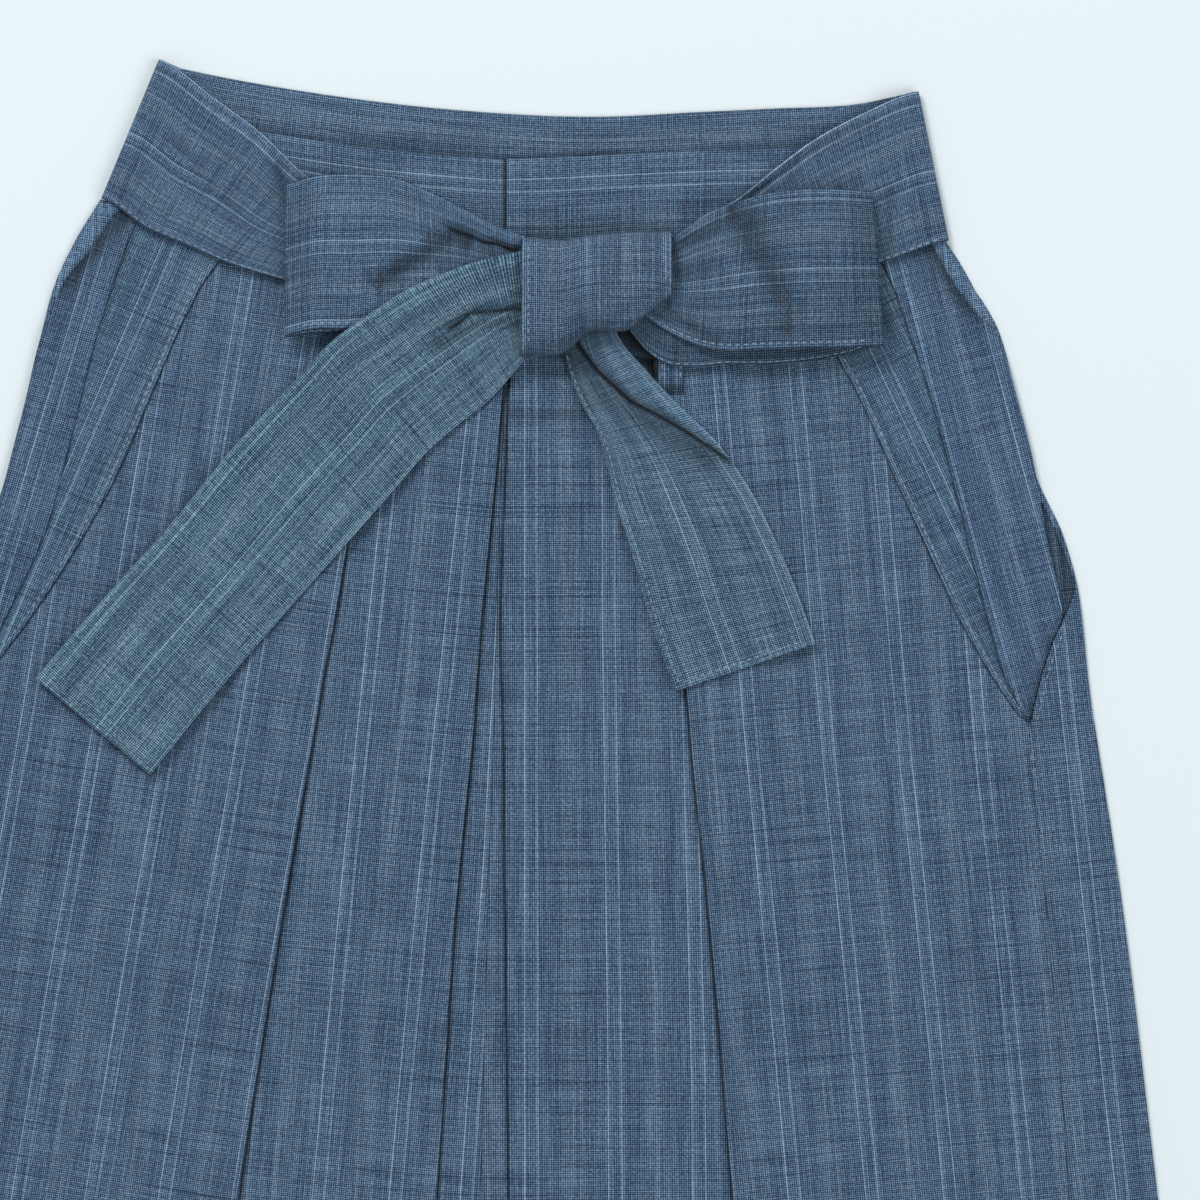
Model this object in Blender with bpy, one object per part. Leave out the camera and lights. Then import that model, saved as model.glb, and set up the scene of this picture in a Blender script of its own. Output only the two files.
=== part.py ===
"""Hakama trousers with a wide tie belt in a bow, laid flat on their back panels.

The frame is metres with +Z up: +Y points to the waist, +X to the right of the front, and the origin is
under the middle of the whole garment. Plan sizes in the tables below are millimetres from the top of the
centre front, before the garment is centred.
"""

import math

import bmesh
import bpy
from mathutils import Vector

MM = 0.001
CLOTH = 1.0  # wall of a single panel
BAND = 1.2  # wall of the front waistband
TIE = 1.5  # wall of the doubled tie cloth
GAP = 0.3  # between one piece and the next
BAND_GAP = 0.9  # between a panel and the waistband's curved edge
PITCH = CLOTH + GAP  # from one layer of cloth to the one on it
LEVEL = [CLOTH / 2 + PITCH * step for step in range(4)]  # middle of each layer, floor upwards

CENTRE_DEPTH = 30.0  # hidden width of the pleat by the centre front
OUTER_DEPTH = 34.0  # hidden width of the pleat on the front of the leg
SLOPE = 10.0  # run over which a layer comes down from the pleat under it
PLEAT_STEP = 2.0  # past a covered edge, before the cloth on it comes down
UNDERLAP = 10.0  # hidden width under the edge of a side pleat
FRONT_TUCK = 0.8  # how far the front's edge runs past that underlap
SIDE_STEP = 1.3  # the same step as PLEAT_STEP, for the narrow side pleat
SIDE_SLOPE = 7.0  # run over which the side pleat comes down
FOOT_RUN = 0.4  # least run of that slope, at the foot of the side opening
SIDE_TUCK = 1.5  # how far the side pleat's edge runs past its underlap
TURN_CLEARANCE = 0.5  # between the side pleat and the turned edge of the back

WRAP_LEVEL = 6.0
LOOP_BACK_LEVEL = 9.3
LOOP_BULGE = 4.0  # how far a loop's fold stands out past its two faces
LOOP_FOLD_FALL = 0.8  # the front face comes down this much at the fold
GATHER_WAVES = 1.25  # soft waves across a loop where the knot gathers it
GATHER_CROWN = 0.6  # rise of the middle of a loop for each millimetre of gather
LEFT_TAIL_BOW = 1.3
TIE_SEGMENTS = 8

# One row for each cross-section of a leg, waist to hem. Sizes run outwards from the centre front.
LEG_COLUMNS = ("y", "centre", "inner_fold", "outer_fold", "side_pleat", "side_fold", "border", "turn",
               "outline", "ease")
LEG_ROWS = {
    "left": (
        (None, 1.2, 1.2, 57, 146, 198, 204, 205, 217, 1.0),
        (-90, 1.4, 1.3, 62.5, 165, 211, 237, 238, 242, 1.0),
        (-110, 1.6, 1.6, 66, 175, 218, 247, 245, 247.5, 1.0),
        (-150, 2.8, 4.2, 73, 192, 228, 257, 254.5, 257, 1.0),
        (-189, 4.6, 7.5, 79.5, 209, 238, 267, 264, 267.2, 1.0),
        (-220, 5.8, 10.5, 85, 226, 247, 275, 274.5, 277, 0.85),
        (-262, 7.0, 14.5, 92, 253, 266.5, 285.5, 286.5, 290.5, 0.55),
        (-292, 7.8, 17, 98, 275.5, 282, 291.5, 292.3, 299.5, 0.2),
        (-316, 8.3, 18.6, 102, 292, 294.5, 298, 298.8, 308, 0.0),
    ),
    "right": (
        (None, -1.2, 0.2, 70, 141, 196, 221, 222, 231, 1.0),
        (-90, -1.4, 0.3, 72, 154, 204, 237, 238, 246, 1.0),
        (-110, -1.6, 0.4, 74, 165, 211, 257, 255, 257.5, 1.0),
        (-150, -2.8, -0.8, 78, 187, 224, 269.5, 267, 269.5, 1.0),
        (-189, -4.6, -2.0, 82, 204, 234.5, 278.8, 276, 279, 1.0),
        (-220, -5.8, -3.4, 85, 218, 242, 284, 290, 293, 0.85),
        (-262, -7.0, -4.6, 89, 237, 252.5, 292.5, 299, 303, 0.55),
        (-292, -7.8, -4.3, 92, 254, 261, 281.8, 282.5, 306, 0.2),
        (-316, -8.3, -3.4, 94.6, 270, 272.5, 276, 276.8, 309, 0.0),
    ),
}
# Below the side opening the back's turned edge is sewn to the front along the side seam.
HEM_COLUMNS = ("y", "centre", "inner_fold", "outer_fold", "seam", "outline")
HEM_ROWS = {
    "left": (
        (-322, 8.5, 19, 103, 297, 310),
        (-420, 11.7, 28.6, 120, 311, 329),
        (-560, 15.4, 38, 142, 332, 355),
        (-750, 20.5, 51, 170, 359, 391),
        (-943, 26, 66, 199, 388, 428),
    ),
    "right": (
        (-322, -8.5, -3.2, 95, 275.5, 310),
        (-420, -11.7, -2.2, 105, 284.5, 325),
        (-560, -15.4, -0.6, 117, 295.5, 342),
        (-750, -20.5, 0.8, 131, 305, 366),
        (-943, -26, 2, 144, 315, 391),
    ),
}

# Waistbands: top edge and bottom edge of each cross-section, left to right.
BACK_BAND = (
    ((-148, 21.7), (-163, -57)),
    ((-93.8, 12.7), (-102.8, -66.8)),
    ((-23.9, 4.8), (-28.5, -75)),
    ((47.7, 1.6), (47.7, -78.4)),
    ((98.6, 4), (101, -76)),
    ((136.7, 5.8), (141, -74)),
    ((185.5, 8.5), (193.5, -70.5)),
)
FRONT_BAND = {
    "left": (
        ((-192, 3), (-203, -50)),
        ((-166, 0), (-176, -58)),
        ((-134.6, -5.8), (-134.6, -65.8)),
        ((-84.8, -13.8), (-84.8, -73.7)),
        ((-2.6, -21.2), (-2.6, -81.2)),
        ((12, -21.2), (12, -81.2)),
    ),
    "right": (
        ((-1.5, -21), (-1.5, -81)),
        ((16, -20.5), (16, -80.5)),
        ((24, -20.2), (24, -80.2)),
        ((47.7, -19), (47.7, -79)),
        ((108.7, -16.4), (108.7, -76.4)),
        ((150, -15.2), (150, -75)),
        ((205, -12), (200, -71.5)),
        ((208, -11.5), (212, -68)),
    ),
}
FLY_OVERLAP = 12.0
FLY_SLOPE = 6.0  # run over which the right band comes down past the left band's end

# The tie is folded back over the front along these edges.
TIE_FOLD = {"left": ((-185.5, 31.8), (-216, -41.9)), "right": ((216, 14.8), (232, -64.1))}
FOLD_RUN = 12.0  # how far the fold's under layer runs back

# Tie pieces: the two edges of each cross-section in plan, and their heights above the floor.
TIE_COLUMNS = ("first", "second", "first_z", "second_z")
WRAP = {
    "left": (
        ((-156.9, 11.7), (-193, -57), 6, 6),
        ((-132.5, -6.4), (-172, -66), 6, 6),
        ((-108, -29.7), (-148, -76.3), 6, 6),
        ((-84, -44), (-118, -85.3), 6, 6),
        ((-45, -58), (-62, -103), 6, 6),
        ((-5, -66), (-10, -113), 6, 6),
        ((42, -71), (42, -117), 6, 6),
    ),
    "right": (
        ((189.7, 4.8), (205, -73), 6, 6),
        ((161, -10.6), (183, -81), 6, 6),
        ((141, -25.4), (162, -91), 6, 6),
        ((118.7, -43), (138, -104), 6, 6),
        ((100.7, -52), (112, -117), 6, 6),
        ((86, -64), (88, -127), 6, 6),
        ((66, -70), (64, -125), 6, 6),
        ((43, -73), (43, -118), 6, 6),
    ),
}
# Front face of each loop from its fold to the knot; the back face lies under it.
LOOP_COLUMNS = ("first", "second", "first_z", "second_z", "back_drop", "gather")
LOOP = {
    "left": (
        ((-118, -35), (-118.7, -114.5), 12.5, 12.5, 1.5, 0.0),
        ((-104, -31), (-106, -111.5), 15.5, 14, 2.0, 0.3),
        ((-79.5, -30), (-84, -110.7), 17, 14, 1.5, 0.6),
        ((-60, -32), (-60, -107.5), 17, 13, 0.0, 1.0),
        ((-42, -39.5), (-40, -103), 15.5, 12.6, 0.0, 1.3),
        ((-22, -49.5), (-20, -98), 14, 12.3, 0.0, 1.2),
        ((-8, -57), (-6, -96), 12.8, 12.2, 0.0, 0.9),
        ((5.7, -63), (5.7, -95), 12.4, 12.2, 0.0, 0.6),
    ),
    "right": (
        ((191.3, -39), (197.7, -119.8), 12.5, 12.5, 0.5, 0.0),
        ((177, -38), (180, -120.8), 16, 15, 3.0, 0.3),
        ((155, -38), (155, -121.4), 18, 16, 7.0, 0.8),
        ((135.7, -40.3), (133.6, -121.9), 18.5, 16, 8.0, 1.5),
        ((118.7, -45), (114, -122.4), 18, 15, 7.5, 1.8),
        ((101, -53.5), (98, -119), 16, 13.5, 5.0, 1.5),
        ((86, -63.6), (86, -112), 13, 12.6, 1.0, 0.8),
    ),
}
TAIL = {
    "left": (
        ((5.4, -70.5), (5.4, -124), 18, 14),
        ((-17.5, -76), (1, -130), 19.5, 11.5),
        ((-37, -83), (-2, -139), 20.5, 8.5),
        ((-56, -92), (-12, -149.5), 21, 6.5),
        ((-73, -103), (-26.5, -161), 20, 6.1),
        ((-93, -117), (-43.5, -176), 14, 6.1),
        ((-113, -138), (-61, -196), 7.5, 6.1),
        ((-143, -170), (-87.5, -226), 6.1, 6.1),
        ((-180, -215), (-122, -265), 6.1, 6.1),
        ((-217, -256), (-158, -307), 6.1, 6.1),
        ((-251, -296), (-190, -347), 6.1, 6.1),
    ),
    "right": (
        ((26, -111), (58, -103), 7.7, 7.7),
        ((28.6, -123.5), (58.5, -112.4), 7.7, 7.7),
        ((37, -148.4), (76.5, -135), 7.7, 7.7),
        ((45.6, -164), (91, -152.6), 7.3, 7.6),
        ((51.4, -183), (111.3, -173.3), 6.5, 6.8),
        ((54.6, -198), (124.6, -191.9), 6.1, 6.3),
        ((64, -228), (140, -221.5), 6.1, 6.1),
        ((74, -264), (151.6, -249), 6.1, 6.1),
        ((87.5, -303), (161.7, -277.7), 6.1, 6.1),
    ),
}

KNOT_COLUMNS = ("x", "top", "bottom", "height")
KNOT_ROWS = (
    (6.5, -62.5, -126.5, 25),
    (16, -63.5, -126, 26.5),
    (26, -64, -124, 27.5),
    (36, -62.5, -118, 28),
    (46, -61, -112, 28),
    (56, -60.3, -112.2, 27.5),
    (66, -59.8, -109, 26.5),
    (76, -59.5, -100.5, 25),
    (85, -60, -95, 23),
)
KNOT_FLOOR = 9.8
KNOT_ARC_STEPS = 10
KNOT_CURL = 6.0
KNOT_SQUARENESS = 0.7  # 1 would be a round arch

BELT_LOOP_X = (78.4, 91.7)
BELT_LOOP_COLUMNS = ("y", "z")
# The upper end is hidden by the bow, and ends plainly on the tie.
BELT_LOOP_ROWS = ((-64, 7.55), (-100, 7.55), (-129.5, 7.55), (-135, 5.85), (-143, 5.85))


def clear_scene():
    for obj in list(bpy.data.objects):
        bpy.data.objects.remove(obj, do_unlink=True)


def cloth_material(name, colour, roughness=0.85):
    material = bpy.data.materials.new(name)
    material.use_nodes = True
    shader = material.node_tree.nodes["Principled BSDF"]
    shader.inputs["Base Color"].default_value = (*colour, 1.0)
    shader.inputs["Roughness"].default_value = roughness
    shader.inputs["Metallic"].default_value = 0.0
    return material


def rows_of(columns, rows):
    return [dict(zip(columns, row)) for row in rows]


def along(points, x):
    """Height of a polyline of (x, y) points at x, level beyond its ends."""
    if x <= points[0][0]:
        return points[0][1]
    for (x0, y0), (x1, y1) in zip(points, points[1:]):
        if x <= x1:
            return y0 + (y1 - y0) * (x - x0) / (x1 - x0)
    return points[-1][1]


def thick_section(points, wall):
    """Both faces of a wall whose middle runs through (x, z) points, mitred at each bend."""
    directions = [(b - a).normalized() for a, b in zip(points, points[1:])]
    upper, lower = [], []
    for index, point in enumerate(points):
        before = directions[max(index - 1, 0)]
        after = directions[min(index, len(directions) - 1)]
        normal = Vector((-before.y - after.y, before.x + after.x)).normalized()
        reach = wall / 2 / max(normal.dot(Vector((-before.y, before.x))), 0.5)
        upper.append(point + normal * reach)
        lower.append(point - normal * reach)
    return upper, lower


def closed_wall(name, upper, lower, material):
    """One closed body between two grids of points, in millimetres."""
    mesh = bmesh.new()
    grids = [[[mesh.verts.new(Vector(p) * MM) for p in row] for row in grid] for grid in (upper, lower)]
    top, bottom = grids
    for i in range(len(top) - 1):
        for j in range(len(top[0]) - 1):
            mesh.faces.new((top[i][j], top[i][j + 1], top[i + 1][j + 1], top[i + 1][j]))
            mesh.faces.new((bottom[i][j], bottom[i + 1][j], bottom[i + 1][j + 1], bottom[i][j + 1]))
    for i in range(len(top) - 1):
        for j in (0, len(top[0]) - 1):
            mesh.faces.new((top[i][j], top[i + 1][j], bottom[i + 1][j], bottom[i][j]))
    for j in range(len(top[0]) - 1):
        for i in (0, len(top) - 1):
            mesh.faces.new((top[i][j], top[i][j + 1], bottom[i][j + 1], bottom[i][j]))
    bmesh.ops.recalc_face_normals(mesh, faces=mesh.faces)
    if mesh.calc_volume(signed=True) < 0:
        bmesh.ops.reverse_faces(mesh, faces=mesh.faces)
    data = bpy.data.meshes.new(name)
    mesh.to_mesh(data)
    mesh.free()
    obj = bpy.data.objects.new(name, data)
    data.materials.append(material)
    bpy.context.scene.collection.objects.link(obj)
    return obj


def divided(points, counts):
    """The same polyline with each stretch cut into its count of equal steps."""
    result = [points[0]]
    for (x0, z0), (x1, z1), count in zip(points, points[1:], counts):
        for step in range(1, count + 1):
            t = step / count
            result.append((x0 + (x1 - x0) * t, z0 + (z1 - z0) * t))
    return result


def folded_panel(name, sections, side, top_edge, material):
    """A panel whose cross-sections lie across the leg. The first follows the waistband's lower edge."""
    sign = -1 if side == "left" else 1
    upper, lower = [], []
    for y, points in sections:
        faces = thick_section([Vector(point) for point in points], CLOTH)
        for grid, face in zip((upper, lower), faces):
            row = []
            for point in face:
                x = sign * point.x
                row.append((x, along(top_edge, x) - BAND_GAP if y is None else y, point.y))
            grid.append(row)
    return closed_wall(name, upper, lower, material)


def band_wall(name, rows, wall, material):
    """A band through rows of points, thickened square to its own surface."""
    grid = [[Vector(point) for point in row] for row in rows]
    last, wide = len(grid) - 1, len(grid[0]) - 1
    upper, lower = [], []
    for i, row in enumerate(grid):
        above, below = [], []
        for j, point in enumerate(row):
            run = grid[min(i + 1, last)][j] - grid[max(i - 1, 0)][j]
            across = row[min(j + 1, wide)] - row[max(j - 1, 0)]
            normal = run.cross(across).normalized()
            above.append(point + normal * wall / 2)
            below.append(point - normal * wall / 2)
        upper.append(above)
        lower.append(below)
    return closed_wall(name, upper, lower, material)


def leg_rows(side):
    """Every cross-section of a leg, with the end of the front panel and the turned edge of the back."""
    rows = rows_of(LEG_COLUMNS, LEG_ROWS[side])
    for row in rows:
        row["front_end"] = row["side_pleat"] + UNDERLAP * row["ease"] + FRONT_TUCK
    for row in rows_of(HEM_COLUMNS, HEM_ROWS[side]):
        row["front_end"] = row["seam"] - GAP
        row["turn"] = row["seam"]
        rows.append(row)
    return rows


def back_section(row):
    inner = row["centre"] + GAP / 2
    edge = row["outline"] - CLOTH / 2
    points = ((inner, LEVEL[0]), (edge, LEVEL[0]), (edge, LEVEL[1]), (row["turn"], LEVEL[1]))
    return divided(points, (10, 1, 1))


def front_section(row):
    """Centre underlay, folded centre pleat, inner panel, folded outer pleat and outer panel."""
    half = CLOTH / 2
    inner, outer = row["inner_fold"], row["outer_fold"]
    deep_inner, deep_outer = inner + CENTRE_DEPTH, outer + OUTER_DEPTH
    points = (
        (row["centre"] + GAP / 2, LEVEL[1]),
        (deep_inner - half, LEVEL[1]),
        (deep_inner - half, LEVEL[2]),
        (inner + half, LEVEL[2]),
        (inner + half, LEVEL[3]),
        (deep_inner + PLEAT_STEP, LEVEL[3]),
        (deep_inner + PLEAT_STEP + SLOPE, LEVEL[1]),
        (deep_outer - half, LEVEL[1]),
        (deep_outer - half, LEVEL[2]),
        (outer + half, LEVEL[2]),
        (outer + half, LEVEL[3]),
        (deep_outer + PLEAT_STEP, LEVEL[3]),
        (deep_outer + PLEAT_STEP + SLOPE, LEVEL[1]),
        (row["front_end"], LEVEL[1]),
    )
    return divided(points, (2, 1, 2, 1, 2, 1, 3, 1, 2, 1, 2, 1, 3))


def side_pleat_section(row):
    """The stitched leaf-shaped pleat that lies on the front panel's hidden edge."""
    ease = row["ease"]
    start = row["side_pleat"]
    on_front = start + UNDERLAP * ease + SIDE_STEP
    low = LEVEL[2] - PITCH * ease
    end = min(row["side_fold"] + UNDERLAP * ease + SIDE_TUCK, row["turn"] - TURN_CLEARANCE)
    down = on_front + SIDE_SLOPE * ease + FOOT_RUN
    points = ((start, LEVEL[2]), (on_front, LEVEL[2]), (down, low), (end, low))
    return divided(points, (1, 1, 4))


def side_panel_section(row):
    """The front's side panel, whose fold lies on the side pleat."""
    ease = row["ease"]
    start, end = row["side_fold"], row["border"]
    high = LEVEL[3] - PITCH * ease
    on_pleat = start + UNDERLAP * ease + PLEAT_STEP
    return divided(((start, high), (on_pleat, high), (end, LEVEL[2])), (1, 4))


def make_leg(side, materials):
    rows = leg_rows(side)
    upper_rows = [row for row in rows if "ease" in row]
    ends = back_band_rows()
    back_edge = [bottom for top, bottom in ends]
    back_edge = [TIE_FOLD["left"][1], *back_edge, TIE_FOLD["right"][1]]
    front_edge = [bottom for top, bottom in FRONT_BAND[side]]
    front_edge = ([(-216, -46)] if side == "left" else []) + sorted(front_edge)
    front_edge += [(235, -62)] if side == "right" else []
    return [
        folded_panel(f"back_{side}", [(r["y"], back_section(r)) for r in rows], side, back_edge,
                     materials["back"]),
        folded_panel(f"front_{side}", [(r["y"], front_section(r)) for r in rows], side, front_edge,
                     materials["front"]),
        folded_panel(f"side_pleat_{side}", [(r["y"], side_pleat_section(r)) for r in upper_rows], side,
                     front_edge, materials["side_pleat"]),
        folded_panel(f"side_panel_{side}", [(r["y"], side_panel_section(r)) for r in upper_rows], side,
                     front_edge, materials["side_panel"]),
    ]


def fold_inside(side, run):
    """The tie fold moved back along the band by run, towards the middle of the waist."""
    top, bottom = (Vector(point) for point in TIE_FOLD[side])
    edge = (top - bottom).normalized()
    inwards = Vector((edge.y, -edge.x)) * (1 if side == "left" else -1)
    return top + inwards * run, bottom + inwards * run


def back_band_rows():
    left = tuple(tuple(p) for p in fold_inside("left", FOLD_RUN + GAP))
    right = tuple(tuple(p) for p in fold_inside("right", FOLD_RUN + GAP))
    return [left, *BACK_BAND, right]


def across(first, second, first_z, second_z, steps, bow=1.0, wave=None):
    """Points from one edge of a strip to the other. A bow over 1 lets the first edge fall away quickly."""
    points = []
    for step in range(steps + 1):
        t = step / steps
        z = second_z + (first_z - second_z) * (1 - t) ** bow
        if wave:
            z += wave(t)
        points.append((first[0] + (second[0] - first[0]) * t, first[1] + (second[1] - first[1]) * t, z))
    return points


def make_waistbands(materials):
    rows = [across(top, bottom, TIE / 2, TIE / 2, 4) for top, bottom in back_band_rows()]
    made = [band_wall("back_waistband", rows, TIE, materials["waistband"])]
    low = LEVEL[0] + CLOTH / 2 + TIE - CLOTH + GAP + BAND / 2
    high = low + BAND + GAP
    for side, table in FRONT_BAND.items():
        rows = []
        for top, bottom in table:
            over = side == "right" and top[0] < FLY_OVERLAP + FLY_SLOPE
            level = high if over else low
            rows.append(across(top, bottom, level, level, 4))
        made.append(band_wall(f"front_waistband_{side}", rows, BAND, materials["waistband"]))
    return made


def make_wrap(side, materials):
    """The tie comes round from the back, folds at the side and lies across the front to the knot."""
    inwards_top, inwards_bottom = fold_inside(side, FOLD_RUN)
    rows = [across(inwards_top, inwards_bottom, TIE / 2, TIE / 2, TIE_SEGMENTS)]
    rise = WRAP_LEVEL - TIE / 2
    turn_steps = 6
    for step in range(turn_steps + 1):
        angle = math.pi * step / turn_steps
        top, bottom = fold_inside(side, rise / 2 - math.sin(angle) * rise / 2)
        z = WRAP_LEVEL / 2 + TIE / 4 - math.cos(angle) * rise / 2
        rows.append(across(top, bottom, z, z, TIE_SEGMENTS))
    for row in rows_of(TIE_COLUMNS, WRAP[side]):
        rows.append(across(row["first"], row["second"], row["first_z"], row["second_z"], TIE_SEGMENTS))
    return band_wall(f"tie_wrap_{side}", rows, TIE, materials["tie"])


def make_loop(side, materials):
    """A bow loop: the back face runs out from the knot, turns at the fold and comes back in front."""
    table = rows_of(LOOP_COLUMNS, LOOP[side])
    outwards = -1 if side == "left" else 1

    def gathers(amount, lift):
        return lambda t: amount * math.sin(2 * math.pi * GATHER_WAVES * t) + lift * math.sin(math.pi * t)

    rows = []
    for row in reversed(table[1:]):
        first, second = row["first"], (row["second"][0], row["second"][1] - row["back_drop"])
        rows.append(across(first, second, LOOP_BACK_LEVEL, LOOP_BACK_LEVEL, TIE_SEGMENTS))
    end, near = table[0], table[1]
    turn_steps = 5
    for step in range(1, turn_steps):
        angle = math.pi * step / turn_steps
        reach = math.sin(angle)
        points = []
        for key, drop in (("first", 0.0), ("second", end["back_drop"])):
            x = end[key][0] - outwards * (1 - reach) * LOOP_BULGE
            blend = (1 - math.cos(angle)) / 2
            z = LOOP_BACK_LEVEL + (near[f"{key}_z"] - LOOP_FOLD_FALL - LOOP_BACK_LEVEL) * blend
            points.append(((x, end[key][1] - drop * (1 - blend)), z))
        rows.append(across(points[0][0], points[1][0], points[0][1], points[1][1], TIE_SEGMENTS))
    for row in table[1:]:
        rows.append(across(row["first"], row["second"], row["first_z"], row["second_z"], TIE_SEGMENTS,
                           wave=gathers(row["gather"], row["gather"] * GATHER_CROWN)))
    return band_wall(f"bow_loop_{side}", rows, TIE, materials["tie"])


def make_tail(side, materials):
    bow = LEFT_TAIL_BOW if side == "left" else 1.0
    rows = [across(row["first"], row["second"], row["first_z"], row["second_z"], TIE_SEGMENTS, bow)
            for row in rows_of(TIE_COLUMNS, TAIL[side])]
    return band_wall(f"tail_{side}", rows, TIE, materials["tail"])


def make_knot(materials):
    """The tie over the middle of the bow: a boxy arch from below to above, curled in behind."""
    columns = []
    for row in rows_of(KNOT_COLUMNS, KNOT_ROWS):
        middle, half = (row["top"] + row["bottom"]) / 2, (row["top"] - row["bottom"]) / 2 - TIE / 2
        points = [(row["x"], middle - half + KNOT_CURL, KNOT_FLOOR)]
        for step in range(KNOT_ARC_STEPS + 1):
            angle = math.pi * step / KNOT_ARC_STEPS
            flat = abs(math.cos(angle)) ** KNOT_SQUARENESS * (1 if angle < math.pi / 2 else -1)
            lift = math.sin(angle) ** KNOT_SQUARENESS
            points.append((row["x"], middle - half * flat, KNOT_FLOOR + (row["height"] - KNOT_FLOOR) * lift))
        points.append((row["x"], middle + half - KNOT_CURL, KNOT_FLOOR))
        columns.append(points)
    return band_wall("knot", columns, TIE, materials["knot"])


def make_belt_loop(materials):
    first, second = BELT_LOOP_X
    rows = [across((first, row["y"]), (second, row["y"]), row["z"], row["z"], 2)
            for row in rows_of(BELT_LOOP_COLUMNS, BELT_LOOP_ROWS)]
    return band_wall("belt_loop", rows, CLOTH, materials["belt_loop"])


def centre_on_origin(objects):
    """One empty holds every piece, so that the origin is under the middle of the garment's box."""
    points = [vertex.co for obj in objects for vertex in obj.data.vertices]
    low = [min(point[axis] for point in points) for axis in range(3)]
    high = [max(point[axis] for point in points) for axis in range(3)]
    holder = bpy.data.objects.new("garment", None)
    bpy.context.scene.collection.objects.link(holder)
    holder.location = (-(low[0] + high[0]) / 2, -(low[1] + high[1]) / 2, -low[2])
    for obj in objects:
        obj.parent = holder


def main():
    clear_scene()
    bpy.context.scene.unit_settings.scale_length = 1.0
    materials = {
        "back": cloth_material("back_cloth", (0.075, 0.125, 0.19)),
        "front": cloth_material("front_cloth", (0.085, 0.14, 0.21)),
        "side_pleat": cloth_material("side_pleat_cloth", (0.08, 0.15, 0.2)),
        "side_panel": cloth_material("side_panel_cloth", (0.085, 0.135, 0.21)),
        "waistband": cloth_material("waistband_cloth", (0.075, 0.13, 0.19)),
        "tie": cloth_material("tie_cloth", (0.08, 0.13, 0.2)),
        "knot": cloth_material("knot_cloth", (0.08, 0.125, 0.18)),
        "tail": cloth_material("tail_cloth", (0.085, 0.16, 0.2)),
        "belt_loop": cloth_material("belt_loop_cloth", (0.06, 0.1, 0.16)),
    }
    objects = make_leg("left", materials) + make_leg("right", materials)
    objects += make_waistbands(materials)
    for side in ("left", "right"):
        objects += [make_wrap(side, materials), make_loop(side, materials), make_tail(side, materials)]
    objects += [make_knot(materials), make_belt_loop(materials)]
    centre_on_origin(objects)


main()
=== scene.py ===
import math

import bpy
import numpy as np
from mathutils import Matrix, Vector


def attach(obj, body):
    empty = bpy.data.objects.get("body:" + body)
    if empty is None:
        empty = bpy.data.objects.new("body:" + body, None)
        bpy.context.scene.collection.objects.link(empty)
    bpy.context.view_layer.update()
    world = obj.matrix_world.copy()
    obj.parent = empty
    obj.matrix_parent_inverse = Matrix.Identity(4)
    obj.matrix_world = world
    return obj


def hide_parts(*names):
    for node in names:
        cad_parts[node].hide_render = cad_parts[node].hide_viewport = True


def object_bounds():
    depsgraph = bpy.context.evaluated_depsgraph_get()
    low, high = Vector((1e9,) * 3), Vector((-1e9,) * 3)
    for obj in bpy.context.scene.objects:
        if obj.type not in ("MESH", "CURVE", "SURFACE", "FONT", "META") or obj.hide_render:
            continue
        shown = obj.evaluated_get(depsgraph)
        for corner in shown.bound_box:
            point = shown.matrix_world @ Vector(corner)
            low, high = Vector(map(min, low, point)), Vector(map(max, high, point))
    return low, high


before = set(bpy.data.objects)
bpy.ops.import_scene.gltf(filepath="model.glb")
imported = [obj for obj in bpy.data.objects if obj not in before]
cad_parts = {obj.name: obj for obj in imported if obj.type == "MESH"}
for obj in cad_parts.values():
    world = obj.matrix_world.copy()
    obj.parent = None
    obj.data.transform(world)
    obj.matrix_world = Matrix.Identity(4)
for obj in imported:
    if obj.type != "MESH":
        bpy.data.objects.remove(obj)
cadLow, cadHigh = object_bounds()
bpy.ops.object.select_all(action="DESELECT")
print("frame loaded:", len(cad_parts), "pieces of cloth")

mm = 0.001
# Tables are in millimetres from the top of the centre front, x to the right of the front and y to the waist.
datum = np.array([cadHigh.x - 0.391, cadLow.y + 0.943, 0.0])

cloth = {
    "wall": 0.55,  # one layer of the striped cloth
    "tieWall": 1.0,  # the tie is the same cloth doubled and turned out
    "bandWall": 0.9,
    "levels": (0.5, 1.8, 3.1, 4.4),  # middle of each layer, from the floor up
    "edgeDrop": 0.45,  # how far a turned edge curls down
    "gap": 0.3,
}
level = cloth["levels"]
repeat = 41.5  # width of one repeat of the stripes
# The tie is folded back over the front along these edges: top and bottom.
tieFold = {"left": ((-185.5, 31.8), (-216, -41.9)), "right": ((216, 14.8), (232, -64.1))}


# Curves, creases and grids

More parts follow.
